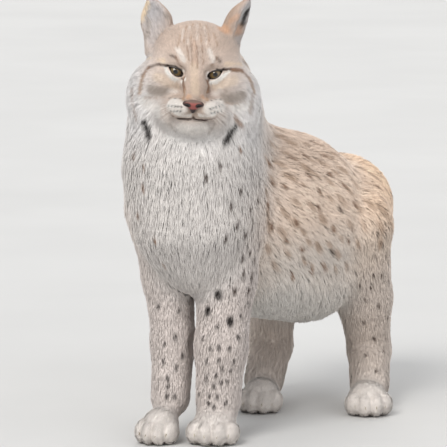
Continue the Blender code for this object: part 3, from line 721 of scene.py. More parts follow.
# Markings of the face, each a stroke between two places of the picture, in its pixels, cast on to the skin
# from the camera, as (column, row, column, row, width, colour, strength).
FACE_STROKES = [
    # pale fields under the eyes and grey patches of the cheeks
    (158, 77, 176, 86, 9, CREAM, 0.35),
    (215, 86, 234, 80, 9, CREAM, 0.35),
    (153, 89.5, 165, 91, 10, GREY, 0.80),
    (225, 98, 240, 95, 11, GREY, 0.80),
    (146, 102, 160, 112, 11, WHITE, 0.55),
    (232, 107, 246, 104, 10, WHITE, 0.55),
    (170, 90, 176, 92, 5, WHITE, 0.35),
    (214, 94, 220, 90, 5, WHITE, 0.35),
    (135, 90, 139, 118, 4, BROWN, 0.55),
    (250, 94, 248, 112, 4, BROWN, 0.50),
    (146, 96, 166, 98, 1.8, FAINT, 0.7),
    (146, 103, 168, 103, 1.8, FAINT, 0.6),
    (226, 103, 244, 101, 1.8, FAINT, 0.6),
    # white round the eyes, widest on the lower lid
    (167, 71.5, 174, 79.0, 3.8, WHITE, 1.0),
    (174, 79.0, 183, 82.0, 3.8, WHITE, 1.0),
    (183.5, 70, 185.5, 80, 3.0, WHITE, 0.85),
    (165, 66.0, 167, 71.5, 2.6, WHITE, 0.8),
    (209, 83.0, 216, 81.5, 3.8, WHITE, 1.0),
    (216, 81.5, 225, 74.5, 3.8, WHITE, 1.0),
    (207.5, 72, 206.5, 81, 3.0, WHITE, 0.85),
    (225, 74.5, 229, 71.5, 2.6, WHITE, 0.8),
    # dark lines outwards from the eyes, which fade down the cheeks
    (168, 65.5, 159, 64.6, 2.6, DARK, 1.0),
    (159, 64.6, 150, 68, 3.0, DARK, 0.75),
    (150, 68, 145.5, 76, 3.6, BROWN, 0.85),
    (145.5, 76, 142, 92, 4.0, FAINT, 0.85),
    (223, 69.0, 232, 69.5, 2.6, DARK, 1.0),
    (232, 70, 241, 71.5, 4.4, BROWN, 0.95),
    (241, 72, 247, 80, 3.4, BROWN, 0.7),
    (247, 80, 251, 92, 4.0, FAINT, 0.8),
    # dark edge of the upper lids and the inner corners
    (167, 65.5, 175, 66.0, 2.0, BLACK, 0.95),
    (175, 66.0, 181.5, 70.0, 2.0, BLACK, 0.95),
    (182.0, 78.5, 184.5, 82.0, 1.8, BLACK, 0.9),
    (224, 70.0, 217, 69.5, 2.0, BLACK, 0.95),
    (217, 69.5, 209.5, 73.0, 2.0, BLACK, 0.95),
    (209.0, 79.5, 207.0, 83.0, 1.8, BLACK, 0.9),
    # brown beside the nose, from the inner corners
    (185.0, 79, 184.6, 90, 5.6, BROWN, 0.95),
    (185.0, 90, 183.5, 100, 3.4, FAINT, 0.95),
    (206.4, 82, 207.0, 91, 5.6, BROWN, 0.95),
    (206.5, 91, 207.0, 101, 3.4, FAINT, 0.95),
    (188, 97, 203, 97.5, 5.0, PEACH, 0.60),
    (194, 66, 195.5, 92, 8, CREAM, 0.35),
    # brows
    (171, 55.5, 176, 57.5, 2.4, DARK, 0.75),
    (176, 57.5, 182, 66, 2.0, BROWN, 0.85),
    (178, 49, 184, 60, 5.0, WHITE, 0.50),
    (216, 57.5, 220, 61.5, 2.4, DARK, 0.75),
    (211.5, 66, 216, 58.5, 2.0, BROWN, 0.85),
    (209, 51, 213, 61, 5.0, WHITE, 0.50),
    (150, 60, 164, 61, 5, CREAM, 0.6),
    (226, 64, 240, 65, 5, CREAM, 0.6),
    # forehead streaks
    (187, 46, 189, 60, 1.7, BROWN, 0.60),
    (191.5, 44, 192.5, 66, 1.7, BROWN, 0.60),
    (196.5, 46, 197.5, 68, 1.7, BROWN, 0.60),
    (202, 46, 203, 64, 1.7, BROWN, 0.60),
    (194, 42, 195, 62, 3.6, PEACH, 0.22),
    (181, 36, 178, 48, 1.8, FAINT, 0.8),
    (187, 27, 184, 42, 1.8, FAINT, 0.8),
    (193, 25, 191, 40, 1.8, FAINT, 0.8),
    (200, 25, 201, 42, 1.8, FAINT, 0.8),
    (206, 27, 209, 42, 1.8, FAINT, 0.8),
    (213, 34, 217, 46, 1.8, FAINT, 0.8),
    (184, 30, 182, 40, 2.4, WHITE, 0.28),
    (190, 27, 188, 44, 2.4, WHITE, 0.28),
    (197, 26, 197, 40, 2.4, WHITE, 0.28),
    (204, 28, 206, 44, 2.4, WHITE, 0.28),
    # whisker pads, the upper lip and the corners of the mouth
    (171, 103, 181, 108, 13, WHITE, 0.70),
    (210, 109, 220, 105, 13, WHITE, 0.70),
    (176, 113, 190, 115, 4.0, WHITE, 0.75),
    (200, 115, 214, 114, 4.0, WHITE, 0.75),
    (172.5, 115.0, 181, 118.0, 1.6, DARK, 0.9),
    (181, 118.0, 188.5, 119.3, 1.8, DARK, 1.0),
    (188.5, 119.3, 193.7, 117.3, 2.0, DARK, 1.0),
    (193.7, 117.3, 199, 119.5, 2.0, DARK, 1.0),
    (199, 119.5, 206.5, 119.0, 1.8, DARK, 1.0),
    (206.5, 119.0, 215, 116.6, 1.6, DARK, 0.9),
    (170, 112.5, 173.5, 115.3, 1.8, BROWN, 0.8),
    (217, 114.5, 214, 117.0, 1.8, BROWN, 0.8),
    (182, 128, 203, 128, 11, WHITE, 0.5),
    (170, 122, 177, 131, 3, GREY, 0.5),
    (214, 123, 208, 132, 3, GREY, 0.5),
    # black marks of the ruff
    (146.5, 122, 151.5, 138, 7.0, BLACK, 1.0),
    (232, 127, 224.5, 142, 7.0, BLACK, 1.0),
    (233, 117, 239, 125, 6, BROWN, 0.75),
    # back and rims of the ears
    (222, 20, 240, 3, 8, WHITE, 0.85),
    (222, 31, 238, 29, 12, PEACH, 0.70),
    (230, 22, 238, 16, 5, PEACH, 0.45),
    (241.5, 24, 246, 10, 6.0, BLACK, 1.0),
    (246, 10, 251, -8, 6.0, BLACK, 1.0),
    (143, 52, 142, 20, 3.4, CREAM, 0.9),
    (142, 20, 149, 1, 3.4, CREAM, 1.0),
    (158, 0, 178, 27, 4.4, CREAM, 0.9),
    (149, 20, 147, 36, 5.0, GREY, 0.7),
    (166, 14, 171, 30, 4.0, GREY, 0.6),
]
# The line of the lips, as (column, row, radius in millimetres).
LIPS = [
    (172.0, 114.4, 0.6), (176, 117.0, 1.1), (180, 118.8, 1.5), (185, 119.8, 1.7), (189, 119.8, 1.8),
    (192, 119.0, 1.9), (193.7, 118.5, 1.9), (195.5, 119.0, 1.9), (199, 120.0, 1.8), (203, 120.1, 1.7),
    (208, 119.2, 1.5), (212, 117.8, 1.1), (216.0, 115.6, 0.6),
]
# Rows of dark dots at the roots of the whiskers, as (first column, row, last column, row, dots).
WHISKER_DOTS = [
    (170, 99, 180, 99, 3),
    (169, 106, 181, 107, 5),
    (171, 111, 180, 111, 4),
    (211, 101, 219, 100, 3),
    (210, 109, 221, 106, 5),
    (211, 113, 220, 111, 4),
]
# Spots, as lists of (column, row) of the picture, with (length, width, colour, strength) in its pixels.
SPOTS = [
    ((7.0, 4.0, DARK, 1.0), [
        (218, 167), (205, 178), (237, 191), (223, 237), (241, 235), (234, 225), (246, 210), (247, 252),
        (252, 261), (240, 259), (242, 274), (234, 291), (247, 291), (254, 202), (228, 206), (248, 228),
        (257, 244), (250, 278)]),
    ((7.0, 7.0, BLACK, 1.0), [(219, 295), (230, 322), (209, 311)]),
    ((5.0, 3.4, BROWN, 1.0), [
        (142, 216), (138, 157), (147, 168), (147, 188), (237, 151), (158, 240), (166, 262)]),
    ((3.0, 4.0, BLACK, 0.85), [
        (159, 307), (178, 311), (175, 338), (165, 345), (182, 356), (164, 362), (176, 368), (168, 379),
        (168, 387), (167, 397), (174, 397), (217, 327), (204, 339), (238, 338), (211, 349), (219, 348),
        (229, 349), (197, 362), (207, 362), (219, 360), (233, 362), (222, 370), (230, 370), (207, 379),
        (216, 376), (221, 383), (227, 381), (214, 387), (200, 394), (210, 396), (217, 397), (209, 404),
        (225, 403), (214, 408), (248, 303), (240, 316)]),
    ((8.0, 5.0, BROWN, 0.95), [
        (282, 139), (310, 144), (291, 160), (302, 157), (307, 177), (317, 192), (316, 208), (331, 229),
        (300, 248), (322, 266), (309, 270), (290, 275), (266, 165), (270, 184), (265, 205), (270, 226),
        (283, 188), (294, 222), (284, 240), (328, 176), (341, 186), (375, 189), (352, 205), (346, 240),
        (276, 122), (296, 131), (322, 158)]),
    ((8.0, 5.5, DARK, 0.9), [(338, 210), (331, 252)]),
    ((3.0, 3.6, DARK, 0.95), [
        (376, 234), (384, 235), (381, 244), (373, 254), (384, 257), (373, 276), (381, 276), (360, 286),
        (371, 288), (387, 283), (366, 300), (378, 306), (386, 318), (364, 322), (374, 338), (383, 352),
        (366, 356), (376, 372)]),
]
# Scattered spots, as (regions, on the seen side too, spacing, length, width, colour, strength) in metres.
SCATTERED_SPOTS = [
    (("trunk", "thigh"), True, 0.030, 0.020, 0.012, FAINT, 0.75),
    (("trunk", "thigh", "neck"), False, 0.042, 0.015, 0.009, BROWN, 0.95),
    (("foreleg", "shank"), False, 0.024, 0.006, 0.0065, DARK, 0.90),
]
TAIL_TIP = 0.070  # length of the black end of the tail
TIP_FADE = 0.020  # length over which it turns black
# Heights between which the flanks turn to the belly's tone and the back darkens, and how far each goes.
PALE_BELOW, PALE = (0.40, 0.28), 0.75
DARK_ABOVE, DARKER = (0.43, 0.50), 0.35
MOTTLES = ((0.024, 2, 0.07), (0.008, 3, 0.05))  # as (size, seed, strength)
LATTICE = 32  # places along one side of the random lattice
SOFTNESS = 0.0015  # of the edges of small markings
WIDE_FROM, WIDE_SOFTNESS = 0.003, 0.35  # wider markings are softer, by this share of what they are wider
DOT_WIDTH, DOT_LENGTH = 1.9, 0.4  # of the whiskers' dots, in pixels
FACING = 0.1  # the picture shows surfaces whose normal turns to the camera by at least this cosine


def mottle(points, size, seed):
    """A smooth random field from -1 to 1, whose patches are about size across."""
    draw = np.random.default_rng(seed)
    lattice = draw.uniform(-1, 1, (LATTICE,) * 3)
    place = points / size
    cell = np.floor(place).astype(int)
    share = place - cell
    share = share * share * (3 - 2 * share)
    total = np.zeros(len(points))
    for corner in np.ndindex(2, 2, 2):
        at = (cell + corner) % LATTICE
        weight = np.prod(np.where(corner, share, 1 - share), axis=1)
        total += weight * lattice[at[:, 0], at[:, 1], at[:, 2]]
    return total


def colour_of(points, shares, strokes):
    """The colour of the coat at points, with its markings."""
    colour = shares @ GROUND_TABLE
    warm = shares[:, NAMES.index("trunk")] + shares[:, NAMES.index("thigh")]
    tip = ramp(np.linalg.norm(points - np.array(TAIL[-1][0]), axis=1), TAIL_TIP, TAIL_TIP - TIP_FADE)

    def tint(share, ink):
        nonlocal colour
        colour = colour + share[:, None] * (ink - colour)

    tint(PALE * warm * ramp(points[:, 2], *PALE_BELOW), GROUND["belly"])
    tint(DARKER * warm * ramp(points[:, 2], *DARK_ABOVE), FAINT)
    patches = 1 + sum(strength * mottle(points, size, seed) for size, seed, strength in MOTTLES)
    colour *= patches[:, None]
    tint(tip * shares[:, NAMES.index("tail")], BLACK)
    for start, end, half, ink, strength in strokes:
        soft = SOFTNESS + WIDE_SOFTNESS * max(half - WIDE_FROM, 0)
        reach = half + np.linalg.norm(end - start) / 2 + soft
        near = np.all(np.abs(points - (start + end) / 2) < reach, axis=1)
        if near.any():
            distance = cone(points[near], start, end + 1e-6, half, half)
            share = strength * ramp(distance, soft, -soft)
            colour[near] += share[:, None] * (ink - colour[near])
    return colour


def seen_place(tree, column, row):
    """The point of the skin that the camera sees at a place of the picture, and its normal, or two Nones."""
    back = (VIEW_FROM - VIEW_AIM).normalized()
    right = Vector((1, 0, 0))
    up = back.cross(right)
    aside = (column - PICTURE / 2) * PIXEL
    above = (PICTURE / 2 - row) * PIXEL
    ray = (VIEW_AIM + right * aside + up * above - VIEW_FROM).normalized()
    return tree.ray_cast(VIEW_FROM, ray)[:2]


def seen_strokes(tree, points, lies):
    """The strokes and spots of the picture, as (start, end, half width, colour, strength) on the skin."""
    rows = list(FACE_STROKES)
    for u0, v0, u1, v1, count in WHISKER_DOTS:
        for share in np.linspace(0, 1, count):
            u, v = u0 + share * (u1 - u0), v0 + share * (v1 - v0)
            rows.append((u, v, u + DOT_LENGTH, v, DOT_WIDTH, BLACK, 0.9))
    made = []
    for u0, v0, u1, v1, width, ink, strength in rows:
        ends = [seen_place(tree, *place)[0] for place in ((u0, v0), (u1, v1))]
        if None not in ends:
            made.append((np.array(ends[0]), np.array(ends[1]), width * PIXEL / 2, ink, strength))
    near = point_tree(points)
    for (length, width, ink, strength), places in SPOTS:
        for place in places:
            hit = seen_place(tree, *place)[0]
            if hit is not None:
                half = lies[near.find(hit)[1]] * length * PIXEL / 4
                start, end = np.array(hit) - half, np.array(hit) + half
                made.append((start, end, width * PIXEL / 2, ink, strength))
    return made


def scattered_strokes(points, normals, shares, lies):
    """Faint spots all over the back and flanks, and stronger ones where the picture doesn't show them."""
    draw = np.random.default_rng(21)
    made = []
    to_camera = unit(np.array(VIEW_FROM) - points)
    hidden = np.sum(to_camera * normals, axis=1) < FACING
    for names, seen, spacing, length, width, ink, strength in SCATTERED_SPOTS:
        own = (hidden | seen) & in_regions(shares, names)
        kept = []
        for i in draw.permutation(np.flatnonzero(own)):
            if all(np.linalg.norm(points[i] - points[k]) > spacing for k in kept):
                kept.append(i)
        for i in kept:
            size = draw.uniform(0.6, 1.15)
            half = lies[i] * length * size / 2
            start, end = points[i] - half, points[i] + half
            made.append((start, end, width * size / 2, ink, strength * draw.uniform(0.7, 1.0)))
    return made


# Skin

CELLS = (0.0016, 0.0054)  # of the skin's grid, on the face and on the body
PAW_CELLS = 0.6  # the cells near the floor, as a share of the body's
BAKE_MAP = "OFBake"
PATCH = 0.003  # size of a tuft's patch on the map
MAP_FACES = 12000
MAP_ANGLE = radians(66)  # the most that the faces of one piece of the map turn


def skin_mesh():
    """Points and quads of the whole skin, on a grid that is finest on the face."""
    fine, wide = CELLS
    across = grid_line([(-0.17, -0.105, wide), (-0.105, 0.100, fine), (0.100, 0.42, wide)])
    along = grid_line([(-0.17, -0.145, wide), (-0.145, 0.020, fine), (0.020, 0.66, wide)])
    above = grid_line([(-0.02, 0.10, wide * PAW_CELLS), (0.10, 0.555, wide), (0.555, 0.83, fine)])
    return surface_net(skin_distance, (across, along, above))


def skin_map(skin):
    """The skin laid flat, as (tree of its coarse faces, their corners, the corners' places on the map)."""
    flat = add_object("flat", skin.data.copy())
    fewer = flat.modifiers.new("fewer", "DECIMATE")
    fewer.ratio = MAP_FACES / (2 * len(skin.data.polygons))
    flat.modifiers.new("triangles", "TRIANGULATE")
    graph = bpy.context.evaluated_depsgraph_get()
    flat.data = bpy.data.meshes.new_from_object(flat.evaluated_get(graph))
    flat.modifiers.clear()
    bpy.context.view_layer.objects.active = flat
    flat.select_set(True)
    bpy.ops.object.mode_set(mode="EDIT")
    bpy.ops.mesh.select_all(action="SELECT")
    bpy.ops.uv.smart_project(angle_limit=MAP_ANGLE, island_margin=0.002)
    bpy.ops.object.mode_set(mode="OBJECT")
    mesh = flat.data
    corners = np.array([v.co for v in mesh.vertices]) - np.array(SHIFT)
    faces = np.array([list(face.vertices) for face in mesh.polygons])
    places = np.zeros(len(mesh.loops) * 2, np.float32)
    mesh.uv_layers.active.data.foreach_get("uv", places)
    bpy.data.objects.remove(flat)
    tree = BVHTree.FromPolygons(corners.tolist(), faces.tolist())
    return tree, corners[faces], places.reshape(-1, 3, 2)


def map_places(roots, flat_map):
    """The places of roots on the map of the skin."""
    tree, corners, places = flat_map
    found = [tree.find_nearest(root) for root in roots.tolist()]
    face = np.array([hit[2] for hit in found])
    near = np.array([hit[0] for hit in found])
    a, b, c = (corners[face, k] for k in range(3))
    normal = np.cross(b - a, c - a)
    size = np.sum(normal * normal, axis=1) + 1e-18
    wb = np.sum(np.cross(near - a, c - a) * normal, axis=1) / size
    wc = np.sum(np.cross(b - a, near - a) * normal, axis=1) / size
    weights = np.stack([1 - wb - wc, wb, wc], axis=1)
    return np.sum(weights[:, :, None] * places[face], axis=1)


# Coat

# Coat pieces, as the regions that each family holds.
FAMILIES = {
    "coat_head": ("crown", "muzzle", "eyes", "chin", "ear_back", "ear_cup"),
    "coat_ruff": ("cheek",),
    "coat_chest": ("chest", "neck"),
    "coat_trunk": ("trunk", "thigh", "tail"),
    "coat_belly": ("belly",),
    "coat_legs": ("foreleg", "shank", "paw"),
}
LONG = ("coat_ruff", "coat_chest", "coat_belly")  # families whose tufts have two rings
# The rings' places along a tuft and how closely it follows the skin, for long and for other tufts.
LONG_RINGS, LONG_HUG = (0.34, 0.70), 0.80
SHORT_RINGS, SHORT_HUG = (0.45,), 0.90
MOST_FACES = 190000  # in one piece
CLUMP = 5  # tufts that draw together
CLUMP_REACH = 0.006  # a longer way to a clump's leader counts as this one
# How tufts vary. The first number of each is a whole clump's spread.
SWING = (0.12, 0.08)
LENGTHS = (0.10, 0.75, 1.10)  # then the least and the most of one tuft
HEIGHTS = (0.08, 0.78, 1.03)
LIGHTS = (0.03, 0.045)
STRAY = 0.0006  # how far a tuft's colour strays from its own place
SINK = 0.0015  # of the roots under the skin
RISE = 2.2  # the height of a tuft nears its greatest with this power of what is left of its length
RIDGE = 0.6  # height of a tuft's middle line over its edges, as a share of half its width
TAPER_FROM, TAPER = 0.4, 0.45  # a tuft narrows from this share of its length, by this share of its width
ROUND = 0.45  # how far a tuft's shading turns to its sides
FLOOR_GAP = 0.0008  # the least height of a tuft over the floor
LIP_BOX = (0.036, -0.018, 0.010)  # round the mouth, where hair is shorter: half width, back and half height
LIP_HAIR, LIP_HAIR_FROM = 0.25, 0.002  # the least length there, as a share, and how far it lasts
# Where no hair grows: this near to the lids' opening, no farther from the eyeball, and this near to the nose.
BARE_LIDS, BARE_EYE, BARE_NOSE = 0.0020, 0.006, 0.0004
LIP_BAND = (0.032, 0.038, 0.0010, 0.0027)  # bare too: half width, back, middle over the slit, half height


def scatter(points, quads, density, draw):
    """Even random places on a mesh, by its density at each point, as (corners, weights)."""
    triangles = np.stack([quads[:, [0, 1, 2]], quads[:, [0, 2, 3]]], axis=1).reshape(-1, 3)
    a, b, c = (points[triangles[:, k]] for k in range(3))
    area = np.linalg.norm(np.cross(b - a, c - a), axis=1) / 2
    total = np.cumsum(area * density[triangles].mean(axis=1))
    count = int(total[-1])
    picks = np.searchsorted(total, (np.arange(count) + draw.random(count)) * total[-1] / count)
    root, other = np.sqrt(draw.random(count)), draw.random(count)
    weights = np.stack([1 - root, root * (1 - other), root * other], axis=1)
    return triangles[np.minimum(picks, len(triangles) - 1)], weights


def bare(points):
    """Whether no hair grows at each point: on the lids' edges, the lips and the nose."""
    p = mirrored(local(points, HEAD))
    turned = eye_frame(p, 1)
    bald = (lid_opening(turned) < BARE_LIDS) & (turned[:, 1] > 0)
    bald &= np.linalg.norm(turned, axis=1) < EYE_RADIUS + BARE_EYE
    bald |= nose_distance(p) < BARE_NOSE
    width, back, over, half = LIP_BAND
    band = np.abs(p[:, 2] - MOUTH_AT[2] - over) < half
    return bald | (band & (p[:, 0] < width) & (p[:, 1] > back))


def laid(places, heights, hug, tree):
    """Places brought towards these heights over the skin by the share hug, and its normal and point there."""
    hits = [tree.find_nearest(place) for place in places.tolist()]
    near = np.array([hit[0] for hit in hits])
    out = np.array([hit[1] for hit in hits])
    goal = near + out * heights[:, None]
    return places + hug * (goal - places), out, near


def spindle_faces(rings):
    """The triangles of one tuft, whose points are its root, three for each ring and its tip."""
    faces = [(0, 1, 2), (0, 2, 3), (0, 3, 1)]
    for low in range(1, 3 * rings - 2, 3):
        for i in range(3):
            j = (i + 1) % 3
            faces += [(low + i, low + 3 + j, low + j), (low + i, low + 3 + i, low + 3 + j)]
    last, tip = 3 * rings - 2, 3 * rings + 1
    return faces + [(last, tip, last + 1), (last + 1, tip, last + 2), (last + 2, tip, last)]


def spindle_patch(rings):
    """The places of one tuft's points on its patch of the map, in halves of the patch's size."""
    patch = np.zeros((3 * rings + 2, 2))
    for k in range(rings):
        patch[1 + 3 * k: 4 + 3 * k] = np.array(((-1, 0), (0, 0.3), (1, 0))) + (0, k - 0.5)
    patch[0], patch[-1] = (0, -1), (0, 1.5)
    return patch


def spindles(name, tufts, rings, hug, tree, strokes):
    """Closed tapered tufts as one mesh. Each has a root in the skin, rings of three points and a tip."""
    roots, along, out = tufts["roots"], tufts["along"], tufts["normals"]
    points, tints, facing = [roots - out * SINK], [], [out]
    for share in (*rings, 1.0):
        height = tufts["heights"] * (1 - (1 - share) ** RISE)
        centre = roots + along * share + tufts["normals"] * height[:, None]
        centre, out, near = laid(centre, height, hug, tree)
        centre[:, 2] = np.maximum(centre[:, 2], FLOOR_GAP)
        tint = colour_of(near + tufts["stray"], tufts["shares"], strokes) * tufts["light"][:, None]
        # Painted shade along each tuft: darker towards the root, where the coat shades it, and a little
        # lighter at the tip.
        tint = np.clip(tint * (0.93 + 0.10 * share), 0, 1)
        if share == 1.0:
            points.append(centre)
            facing.append(out)
            tints.append(tint)
            continue
        side = unit(np.cross(out, along))
        half = tufts["widths"][:, None] / 2 * (1.0 - TAPER * max(share - TAPER_FROM, 0) / (1 - TAPER_FROM))
        points += [centre - side * half, centre + out * half * RIDGE, centre + side * half]
        facing += [out - side * ROUND, out, out + side * ROUND]
        tints += [tint] * 3
    # The root is painted darker still, as shade deep in the coat.
    tints.insert(0, tints[0] * 0.92)
    points, facing, tints = (np.stack(rows, axis=1) for rows in (points, facing, tints))
    faces = np.array(spindle_faces(len(rings)))
    faces = (np.arange(len(roots))[:, None, None] * points.shape[1] + faces[None]).reshape(-1, 3)
    made = add_mesh(name, points.reshape(-1, 3), faces, tints.reshape(-1, 3), unit(facing.reshape(-1, 3)))
    spread = tufts["places"][:, None, :] + PATCH / 2 * spindle_patch(len(rings))[None]
    layer = made.data.uv_layers.new(name=BAKE_MAP)
    places = np.clip(spread.reshape(-1, 2), 0, 1)[faces.ravel()]
    layer.data.foreach_set("uv", places.astype(np.float32).ravel())
    return made


def draw_tufts(points, quads, normals, shares, lies, flat_map):
    """The root, lie, size, light and place on the map of every tuft, as a dict of arrays."""
    draw = np.random.default_rng(11)
    table = shares @ TABLE
    density = table[:, 3] * ~bare(points)
    corners, weights = scatter(points, quads, density, draw)

    def between(field):
        return np.sum(field[corners] * weights[:, :, None], axis=1)

    roots, normal = between(points), unit(between(normals))
    depth, length, width, _, pull = between(table).T
    over = local(roots, HEAD) - np.array(MOUTH_AT)
    lips = (np.abs(over[:, 0]) < LIP_BOX[0]) & (over[:, 1] > LIP_BOX[1]) & (np.abs(over[:, 2]) < LIP_BOX[2])
    grown = LIP_HAIR + (1 - LIP_HAIR) * ramp(np.abs(over[:, 2]), LIP_HAIR_FROM, LIP_BOX[2])
    length = np.where(lips, length * grown, length)
    lie = along_surface(between(lies), normal)
    count = len(roots)
    leaders = draw.permutation(count)[: count // CLUMP]
    tree = point_tree(roots[leaders])
    clump = leaders[np.array([tree.find(place)[1] for place in roots.tolist()])]

    def strayed(spread, own_spread):
        return draw.normal(0, spread, count)[clump] + draw.normal(0, own_spread, count)

    def sized(spread, least, most):
        return (1 + draw.normal(0, spread, count)[clump]) * draw.uniform(least, most, count)

    lie = unit(lie + np.cross(normal, lie) * strayed(*SWING)[:, None])
    longer = sized(*LENGTHS)
    higher = sized(*HEIGHTS)
    apart = roots - roots[clump]
    apart -= normal * np.sum(apart * normal, axis=1, keepdims=True)
    apart *= np.minimum(1, CLUMP_REACH / (np.linalg.norm(apart, axis=1, keepdims=True) + 1e-9))
    return {
        "roots": roots,
        "normals": normal,
        "along": lie * (length * longer)[:, None] - apart * pull[:, None],
        "heights": depth * higher,
        "light": 1 + strayed(*LIGHTS),
        "widths": width * draw.uniform(0.8, 1.2, count) * 1,
        "shares": between(shares),
        "stray": draw.normal(0, STRAY, (count, 3)),
        "places": map_places(roots, flat_map),
    }


def grow_coat(tufts, strokes, skin_tree):
    """All of the coat's short and long tufts, as a list of pieces."""
    pieces = []
    for family, regions in FAMILIES.items():
        own = np.flatnonzero(in_regions(tufts["shares"], regions))
        own = own[np.argsort(tufts["roots"][own, 1], kind="stable")]
        rings, hug = (LONG_RINGS, LONG_HUG) if family in LONG else (SHORT_RINGS, SHORT_HUG)
        chunks = int(np.ceil(len(own) * len(spindle_faces(len(rings))) / MOST_FACES))
        for number, some in enumerate(np.array_split(own, chunks)):
            chosen = {key: value[some] for key, value in tufts.items()}
            pieces.append(spindles(f"{family}_{number + 1}", chosen, rings, hug, skin_tree, strokes))
    return pieces


# Materials


class Finish:
    """A material with its Principled shader, and the nodes that feed it."""

    def __init__(self, name, roughness):
        self.material = bpy.data.materials.new(name)
        self.material.use_nodes = True
        self.shader = self.material.node_tree.nodes["Principled BSDF"]
        self.fill(self.shader, {"Roughness": roughness})

    def fill(self, node, values):
        """Sets each of these sockets of a node, or links it where its value is another node's socket."""
        for key, value in values.items():
            socket = node.inputs[key]
            if isinstance(value, bpy.types.NodeSocket):
                self.material.node_tree.links.new(value, socket)
            elif socket.type == "RGBA":
                socket.default_value = (*value, 1.0)
            else:
                socket.default_value = value

    def node(self, kind, values, **settings):
        made = self.material.node_tree.nodes.new("ShaderNode" + kind)
        for key, value in settings.items():
            setattr(made, key, value)
        self.fill(made, values)
        return made

    def place(self):
        """The object's own coordinates."""
        return self.node("TexCoord", {}).outputs["Object"]

    def noise(self, place, scale, detail=3.0):
        made = self.node("TexNoise", {"Vector": place, "Scale": scale, "Detail": detail})
        return made.outputs["Fac"]

    def bump(self, height, strength, distance):
        made = self.node("Bump", {"Height": height, "Strength": strength, "Distance": distance})
        self.fill(self.shader, {"Normal": made.outputs["Normal"]})

    def mixed(self, share, low, high, kind="MIX"):
        """A mix of two colours or links by share."""
        return self.node("Mix", {0: share, 6: low, 7: high}, data_type="RGBA", blend_type=kind).outputs[2]

    def ranged(self, value, low, high, out_low, out_high):
        limits = {"From Min": low, "From Max": high, "To Min": out_low, "To Max": out_high}
        return self.node("MapRange", {"Value": value, **limits}).outputs["Result"]


def hair_material(name, shine, scale, bump_depth=0.0):
    """The finish of skin, coat or nose: its own colours, mottled by noise, with a soft sheen."""
    finish = Finish(name, 0.8)
    own = finish.node("VertexColor", {}, layer_name=COLOUR)
    grain = finish.noise(finish.place(), scale)
    tint = finish.mixed(grain, (0.86, 0.84, 0.82), (1.10, 1.10, 1.10))
    finish.fill(finish.shader, {
        "Base Color": finish.mixed(1.0, own.outputs["Color"], tint, "MULTIPLY"),
        "Roughness": finish.ranged(grain, 0.3, 0.7, 0.62, 0.88),
        "Specular IOR Level": shine,
        "Sheen Weight": 0.15,
        "Sheen Roughness": 0.5,
    })
    if bump_depth:
        finish.bump(finish.noise(finish.place(), 900, 2.0), 0.5, bump_depth)
    return finish.material


def mottled_material(name, low, high, scale, roughness, depth, coat=0.0):
    """Two tones mixed by noise, with a bump of the same grain."""
    finish = Finish(name, roughness)
    grain = finish.noise(finish.place(), scale)
    finish.fill(finish.shader, {
        "Base Color": finish.mixed(finish.ranged(grain, 0.35, 0.65, 0, 1), low, high),
        "Roughness": finish.ranged(grain, 0.3, 0.7, roughness - 0.08, roughness + 0.08),
        "Coat Weight": coat,
    })
    finish.bump(grain, 0.6, depth)
    return finish.material


# Colours of the eye, as (distance from its axis as a share of its radius, colour).
PUPIL = (0.004, 0.003, 0.003)
EYE_RINGS = (
    (0.23, PUPIL),
    (0.27, tone(82, 64, 36)),
    (0.40, tone(112, 92, 58)),
    (0.58, tone(92, 74, 46)),
    (0.66, tone(44, 34, 24)),
    (0.74, tone(20, 15, 13)),
)
# The white of the eye, painted dark as shade.
SHADED_EYE_WHITE = tone(60, 48, 40)


def iris_material():
    """An eye by the distance from its own +Y axis: pupil, olive iris, dark rim and shaded white."""
    finish = Finish("eye", 0.06)
    flat = finish.node("VectorMath", {0: finish.place(), 1: (1, 0, 1)}, operation="MULTIPLY")
    length = finish.node("VectorMath", {0: flat.outputs["Vector"]}, operation="LENGTH")
    turned = finish.node("VectorMath", {0: flat.outputs["Vector"]}, operation="NORMALIZE")
    reach = finish.ranged(length.outputs["Value"], 0, EYE_RADIUS, 0, 1)
    rings = finish.node("ValToRGB", {"Fac": reach})
    first, last = rings.color_ramp.elements
    first.position, first.color = 0.0, (*PUPIL, 1)
    last.position, last.color = 1.0, (*SHADED_EYE_WHITE, 1)
    for position, colour in EYE_RINGS:
        rings.color_ramp.elements.new(position).color = (*colour, 1)
    grain = finish.noise(turned.outputs["Vector"], 9.0, 4.0)
    streaks = finish.mixed(grain, (0.70, 0.70, 0.70), (1.25, 1.25, 1.25))
    finish.fill(finish.shader, {
        "Base Color": finish.mixed(1.0, rings.outputs["Color"], streaks, "MULTIPLY"),
        "Coat Weight": 0.25,
        "Coat Roughness": 0.05,
    })
    return finish.material


def give(made, material):
    """A piece with its finish, on the one body."""
    made.data.materials.clear()
    made.data.materials.append(material)
    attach(made, "root")
    return made


# Eyes, nose, lips, whiskers, pads and claws

CORNEA = 0.045  # how far the clear front of the eye stands out, as a share of its radius
CORNEA_WIDTH = 0.6  # and how wide it is
RIM_POINTS = 25  # along each lid
RIM_GAP = 0.0007  # of the rims' middle line over the eyeball
UPPER_RIM, LOWER_RIM = 0.0021, 0.0010  # radii of the rims
NOSE_CELL = 0.0006
WHISKER_ROWS, WHISKERS_IN_ROW = 3, 4  # on each side
TUFT_HAIRS = 60


